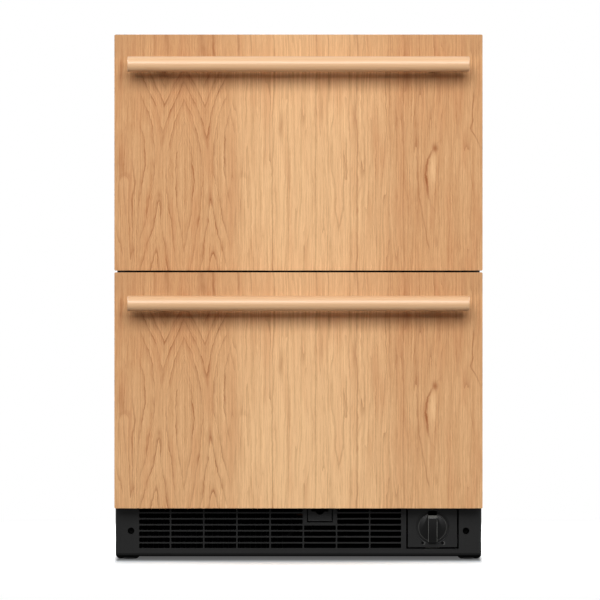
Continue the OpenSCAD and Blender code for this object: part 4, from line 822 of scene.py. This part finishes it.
def add_knob():
    """Skirt with an eased rim, a grip whose top end slopes back, the index notch and the stem."""
    low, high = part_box("control_knob")
    x = (low.x + high.x) / 2
    skirt_face = low.y + KNOB_GRIP_STANDS
    skirt_back = skirt_face + KNOB_SKIRT_DEPTH
    lying = (math.radians(90), 0, 0)

    knob = begin("knob_moulded", "cylinder", vertices=96, radius=KNOB_SKIRT_RADIUS, depth=KNOB_SKIRT_DEPTH,
                 location=(x, (skirt_face + skirt_back) / 2, KNOB_HEIGHT), rotation=lying)
    notch = begin("notch", "cube", size=1.0, scale=KNOB_NOTCH_SIZE,
                  location=(x, skirt_face + 1.0 * MM, KNOB_HEIGHT + KNOB_NOTCH_PLACE))
    grip = knob_grip(x, low.y, skirt_face + 1.0 * MM)
    stem = begin("stem", "cylinder", vertices=32, radius=KNOB_STEM_RADIUS, depth=KNOB_STEM_LENGTH,
                 location=(x, skirt_back + KNOB_STEM_PLACE, KNOB_HEIGHT), rotation=lying)
    combine(knob, notch, "DIFFERENCE")
    combine(knob, grip, "UNION")
    combine(knob, stem, "UNION")

    def on_rim(point):
        radius = math.hypot(point.x - x, point.z - KNOB_HEIGHT)
        return abs(point.y - skirt_face) < 0.01 * MM and abs(radius - KNOB_SKIRT_RADIUS) < 0.05 * MM

    def shown(edge):
        """A sharp edge of the grip in front of the skirt, or of the skirt's front rim."""
        if not edge.is_manifold or edge.calc_face_angle() < math.radians(5):
            return False
        points = [vertex.co for vertex in edge.verts]
        of_grip = min(point.y for point in points) < skirt_face - 1.0 * MM
        return of_grip or all(on_rim(point) for point in points)

    edit(knob, "EDGE", shown)
    bpy.ops.mesh.bevel(offset=KNOB_EASING, segments=3, affect="EDGES", clamp_overlap=False)
    finish_edit()
    close_piece(knob, finish_of("control_knob"), "knob", 35.0, "control_knob")


# ---------- fasteners ----------

PAN_HEAD_RADIUS_MM = 3.6
PAN_HEAD_HEIGHT_MM = 1.9
# the recess's length and width as shares of the head's radius, and its cutter's height of the head's
RECESS_LENGTH = 1.15
RECESS_WIDTH = 0.26
RECESS_HEIGHT = 1.1
COVER_SCREW_INSET = 9.0 * MM
COVER_TOP_SCREW_X = 100.0 * MM
EVAPORATOR_SCREW_INSET = (18.0 * MM, 22.0 * MM)


def cross_screw(name, head_r_mm, head_h_mm):
    """Pan head with a cross recess, its seat at the origin and its top towards +Z."""
    head = begin(name, "cylinder", vertices=24, radius=head_r_mm * MM, depth=head_h_mm * MM,
                 location=(0, 0, head_h_mm * MM / 2))
    edit(head, "EDGE", lambda edge: all(vertex.co.z > (head_h_mm - 0.01) * MM for vertex in edge.verts))
    bpy.ops.mesh.bevel(offset=head_h_mm * 0.55 * MM, segments=3, affect="EDGES")
    finish_edit()
    arm = (head_r_mm * RECESS_LENGTH * MM, head_r_mm * RECESS_WIDTH * MM)
    for long, wide in (arm, arm[::-1]):
        recess = begin("recess", "cube", size=1.0, location=(0, 0, head_h_mm * MM),
                       scale=(long, wide, head_h_mm * RECESS_HEIGHT * MM))
        combine(head, recess, "DIFFERENCE")
    return head


def add_screws(model, name, places, turn, material):
    """One piece of screws at all the places, fixed to the cabinet."""
    screws = [copy_at(model, place, turn) for place in places]
    close_piece(gather(screws, name), material, "cabinet", 30.0)


def add_fasteners():
    """Screws of the rear cover and the evaporator cover."""
    pan = cross_screw("pan_screw", PAN_HEAD_RADIUS_MM, PAN_HEAD_HEIGHT_MM)
    backwards = Matrix.Rotation(math.radians(-90), 4, "X")
    forwards = Matrix.Rotation(math.radians(90), 4, "X")
    low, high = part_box("rear_cover")
    rows = [low.z + COVER_SCREW_INSET, (low.z + high.z) / 2, high.z - COVER_SCREW_INSET]
    places = [(side * (high.x - COVER_SCREW_INSET), high.y, z) for side in (-1, 1) for z in rows]
    places += [(side * COVER_TOP_SCREW_X, high.y, rows[2]) for side in (-1, 1)]
    add_screws(pan, "rear_cover_screws", places, backwards, FINISHES["slide_steel"])
    low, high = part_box("evaporator_cover")
    aside, inset = EVAPORATOR_SCREW_INSET
    places = [(side * (high.x - aside), low.y, z)
              for side in (-1, 1) for z in (low.z + inset, high.z - inset)]
    add_screws(pan, "evaporator_cover_screws", places, forwards, FINISHES["liner_plastic"])
    bpy.data.objects.remove(pan)


# ---------- louvre hoods ----------

HOOD_DEPTH = 2.4 * MM
HOOD_HEIGHT = 12.0 * MM
HOOD_WIDTH = 126.0 * MM
HOOD_SKIN = 0.5 * MM
HOOD_EASING = 2.2 * MM
LOUVRE_COLUMNS = (-120.0 * MM, 40.0 * MM, 200.0 * MM)
LOUVRE_ROWS = 9
LOUVRE_FIRST_Z = 45.0 * MM
LOUVRE_PITCH = 22.0 * MM


def louvre_hood():
    """One pressed hood at the origin, open at its lower side and towards the sheet."""
    hood = begin("hood", "cube", size=1.0, location=(0, HOOD_DEPTH / 2, 0),
                 scale=(HOOD_WIDTH, HOOD_DEPTH, HOOD_HEIGHT))

    def outer_and_not_lowest(edge):
        first, second = (vertex.co for vertex in edge.verts)
        outer = min(first.y, second.y) > HOOD_DEPTH * 0.9
        return outer and (first.z + second.z) / 2 > -0.4 * HOOD_HEIGHT

    edit(hood, "EDGE", outer_and_not_lowest)
    bpy.ops.mesh.bevel(offset=HOOD_EASING, segments=3, affect="EDGES", clamp_overlap=False)
    finish_edit()
    edit(hood, "FACE", lambda face: face.normal.z < -0.9 or face.normal.y < -0.9)
    bpy.ops.mesh.delete(type="FACE")
    finish_edit()
    select_only(hood)
    wall = hood.modifiers.new("wall", "SOLIDIFY")
    wall.thickness = HOOD_SKIN
    wall.offset = -1.0
    bpy.ops.object.modifier_apply(modifier=wall.name)
    return hood


def add_louvre_hoods():
    """A pressed hood over each louvre of the rear cover."""
    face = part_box("rear_cover")[1].y
    hood = louvre_hood()
    hoods = [copy_at(hood, (x, face, LOUVRE_FIRST_Z + LOUVRE_PITCH * row))
             for x in LOUVRE_COLUMNS for row in range(LOUVRE_ROWS)]
    bpy.data.objects.remove(hood)
    close_piece(gather(hoods, "rear_cover_hoods"), finish_of("rear_cover"), "cabinet", 50.0)


# ---------- pieces ----------

# how far the edges of a node are eased, in millimetres
EASED = {
    "upper_wood_panel": 0.8, "lower_wood_panel": 0.8,
    "base_grille": 0.3, "control_plate": 0.6, "service_tab": 0.3,
    "cabinet_wrapper": 0.4, "upper_front_shell": 0.5, "lower_front_shell": 0.5,
    "upper_handle_bar": 0.7, "lower_handle_bar": 0.7, "upper_bin_frame": 0.4, "lower_bin_frame": 0.4,
    "upper_gasket": 1.2, "lower_gasket": 1.2, "mullion_rail": 0.5, "counter_brackets": 0.3,
    "upper_front_liner": 0.6, "lower_front_liner": 0.6, "upper_inner_rails": 0.3, "lower_inner_rails": 0.3,
    "upper_middle_rails": 0.2, "lower_middle_rails": 0.2, "upper_bin": 0.5, "lower_bin": 0.5,
    "drain_pan": 0.5, "thermostat_body": 0.4, "relay_cover": 0.4, "back_panel": 0.3,
}

add_knob()
add_fasteners()
add_louvre_hoods()
for name, width in EASED.items():
    eased(name, width)
for name, node in nodes.items():
    if not node.hide_render:
        node.data.materials[0] = finish_of(name)


# ---------- studio ----------

WORLD_FILL = 0.02
FLOOR_SIZE = 60.0
# the colour of the floor beside the object, over 1 so that it renders white
FLOOR_BESIDE = 4.2
# what the floor gives back to the object's faces and to its reflections
FLOOR_TO_FACES = 0.06
FLOOR_IN_MIRRORS = 0.45

# name, place, target, size, watts
LAMPS = (
    ("front_softbox", (0.0, -6.8, 3.15), (0, -0.25, 0.45), (5.0, 3.1), 445.0),
    ("high_softbox", (0.0, -4.6, 4.6), (0, -0.25, 0.45), (4.0, 1.6), 34.0),
    ("top_softbox", (0.0, 0.5, 3.6), (0, 0.1, 0.4), (2.4, 1.4), 13.0),
    ("left_softbox", (-4.5, 1.6, 2.2), (0, 0.05, 0.45), (2.4, 2.4), 90.0),
    ("right_softbox", (4.5, 1.6, 2.2), (0, 0.05, 0.45), (2.4, 2.4), 90.0),
    ("left_strip", (-3.2, -3.6, 0.7), (0.1, -0.22, 0.1), (0.14, 1.2), 2.0),
    ("right_strip", (3.6, -3.0, 0.7), (0.2, -0.22, 0.1), (0.14, 1.2), 3.0),
    ("back_softbox", (0.0, 5.5, 2.6), (0, 0.3, 0.45), (3.4, 2.4), 190.0),
)


def add_lamp(name, place, target, size, power):
    """A rectangular softbox that the camera doesn't see."""
    data = bpy.data.lights.new(name, "AREA")
    data.shape = "RECTANGLE"
    data.size, data.size_y = size
    data.energy = power
    lamp = bpy.data.objects.new(name, data)
    lamp.location = place
    lamp.rotation_euler = (Vector(target) - Vector(place)).to_track_quat("-Z", "Y").to_euler()
    lamp.visible_camera = False
    bpy.context.scene.collection.objects.link(lamp)


class Stage(Finish):
    """The shader of the world or the floor, whose output is set by hand."""

    def __init__(self, tree):
        self.tree = tree
        tree.nodes.clear()

    def close(self, kind, shader):
        out = self.tree.nodes.new(kind)
        self.tree.links.new(shader.socket, out.inputs["Surface"])

    def seen(self, *rays):
        """1 for the named kinds of ray and 0 for the rest."""
        share = self.node("LightPath", out=rays[0])
        for ray in rays[1:]:
            share = share.above(self.node("LightPath", out=ray))
        return share


def add_world():
    """White where the camera or a reflection looks, a faint fill elsewhere."""
    world = bpy.data.worlds.new("studio")
    bpy.context.scene.world = world
    world.use_nodes = True
    s = Stage(world.node_tree)
    seen = s.seen("Is Camera Ray", "Is Glossy Ray", "Is Transmission Ray")
    strength = seen * (1.0 - WORLD_FILL) + WORLD_FILL
    s.close("ShaderNodeOutputWorld",
            s.node("Background", {"Color": (1.0, 1.0, 1.0, 1.0), "Strength": strength}))


def floor_near(s, x, y):
    """The floor at the object's foot: a painted shadow that is dark under it and paler before it, a painted
    glow under the base's front, and white past its sides and back.
    """
    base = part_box("base_grille")[0]
    back = cad_bounds[1][1]
    # 1 under the object, falling to 0 at the base's sides and at the back
    inside = (s.rise(abs(x), -base.x - 0.006, -base.x + 0.014, 1.0, 0.0)
              * s.rise(y, back - 0.05, back, 1.0, 0.0))
    # painted shadow in two steps from dark to white before the base
    painted_shadow = (s.rise(y, base.y - 0.11, base.y + 0.01, 1.2, 0.05)
            + s.rise(y, base.y - 0.24, base.y - 0.13, 1.8, 0.0))
    # a painted tint that takes back the light the wood's own colour throws on the floor
    grey = s.node("CombineXYZ", [(1.0 - inside) * FLOOR_BESIDE + painted_shadow * inside * tint
                                 for tint in (1.0, 1.06, 1.1)])
    # painted light: a faint glow of its own, brightest behind the base's front
    painted_glow = s.rise(y, base.y + 0.16, base.y + 0.03, 0.035, 0.11) * inside
    diffuse = s.node("BsdfDiffuse", {"Color": grey})
    return s.node("AddShader", (diffuse, s.node("Emission", {"Strength": painted_glow})))


def add_floor():
    """A wide floor that the camera sees white but for the object's shadow, painted at its foot and real
    elsewhere, and other rays dim.
    """
    bpy.ops.object.select_all(action="DESELECT")
    bpy.ops.mesh.primitive_plane_add(size=FLOOR_SIZE, location=(0, 0, 0))
    floor = bpy.context.object
    floor.name = "floor"
    material = bpy.data.materials.new("floor_white")
    material.use_nodes = True
    s = Stage(material.node_tree)
    place = s.node("TexCoord", out="Object")
    x, y = (s.node("SeparateXYZ", (place,), out=axis) for axis in "XY")
    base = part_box("base_grille")[0]
    distance = length((abs(x) + base.x).above(0.0), (abs(y) + base.y).above(0.0))
    away = s.rise(distance, 0.15, 0.9)
    shown = s.node("MixShader", (away, floor_near(s, x, y), s.node("Emission", {"Strength": 1.0})))
    plain = s.node("BsdfDiffuse", {"Color": (FLOOR_TO_FACES,) * 3 + (1.0,)})
    mirrored = s.node("Emission", {"Strength": FLOOR_IN_MIRRORS})
    unseen = s.node("MixShader", (s.seen("Is Glossy Ray", "Is Transmission Ray"), plain, mirrored))
    s.close("ShaderNodeOutputMaterial", s.node("MixShader", (s.seen("Is Camera Ray"), unseen, shown)))
    floor.data.materials.append(material)


add_world()
add_floor()
for lamp in LAMPS:
    add_lamp(*lamp)
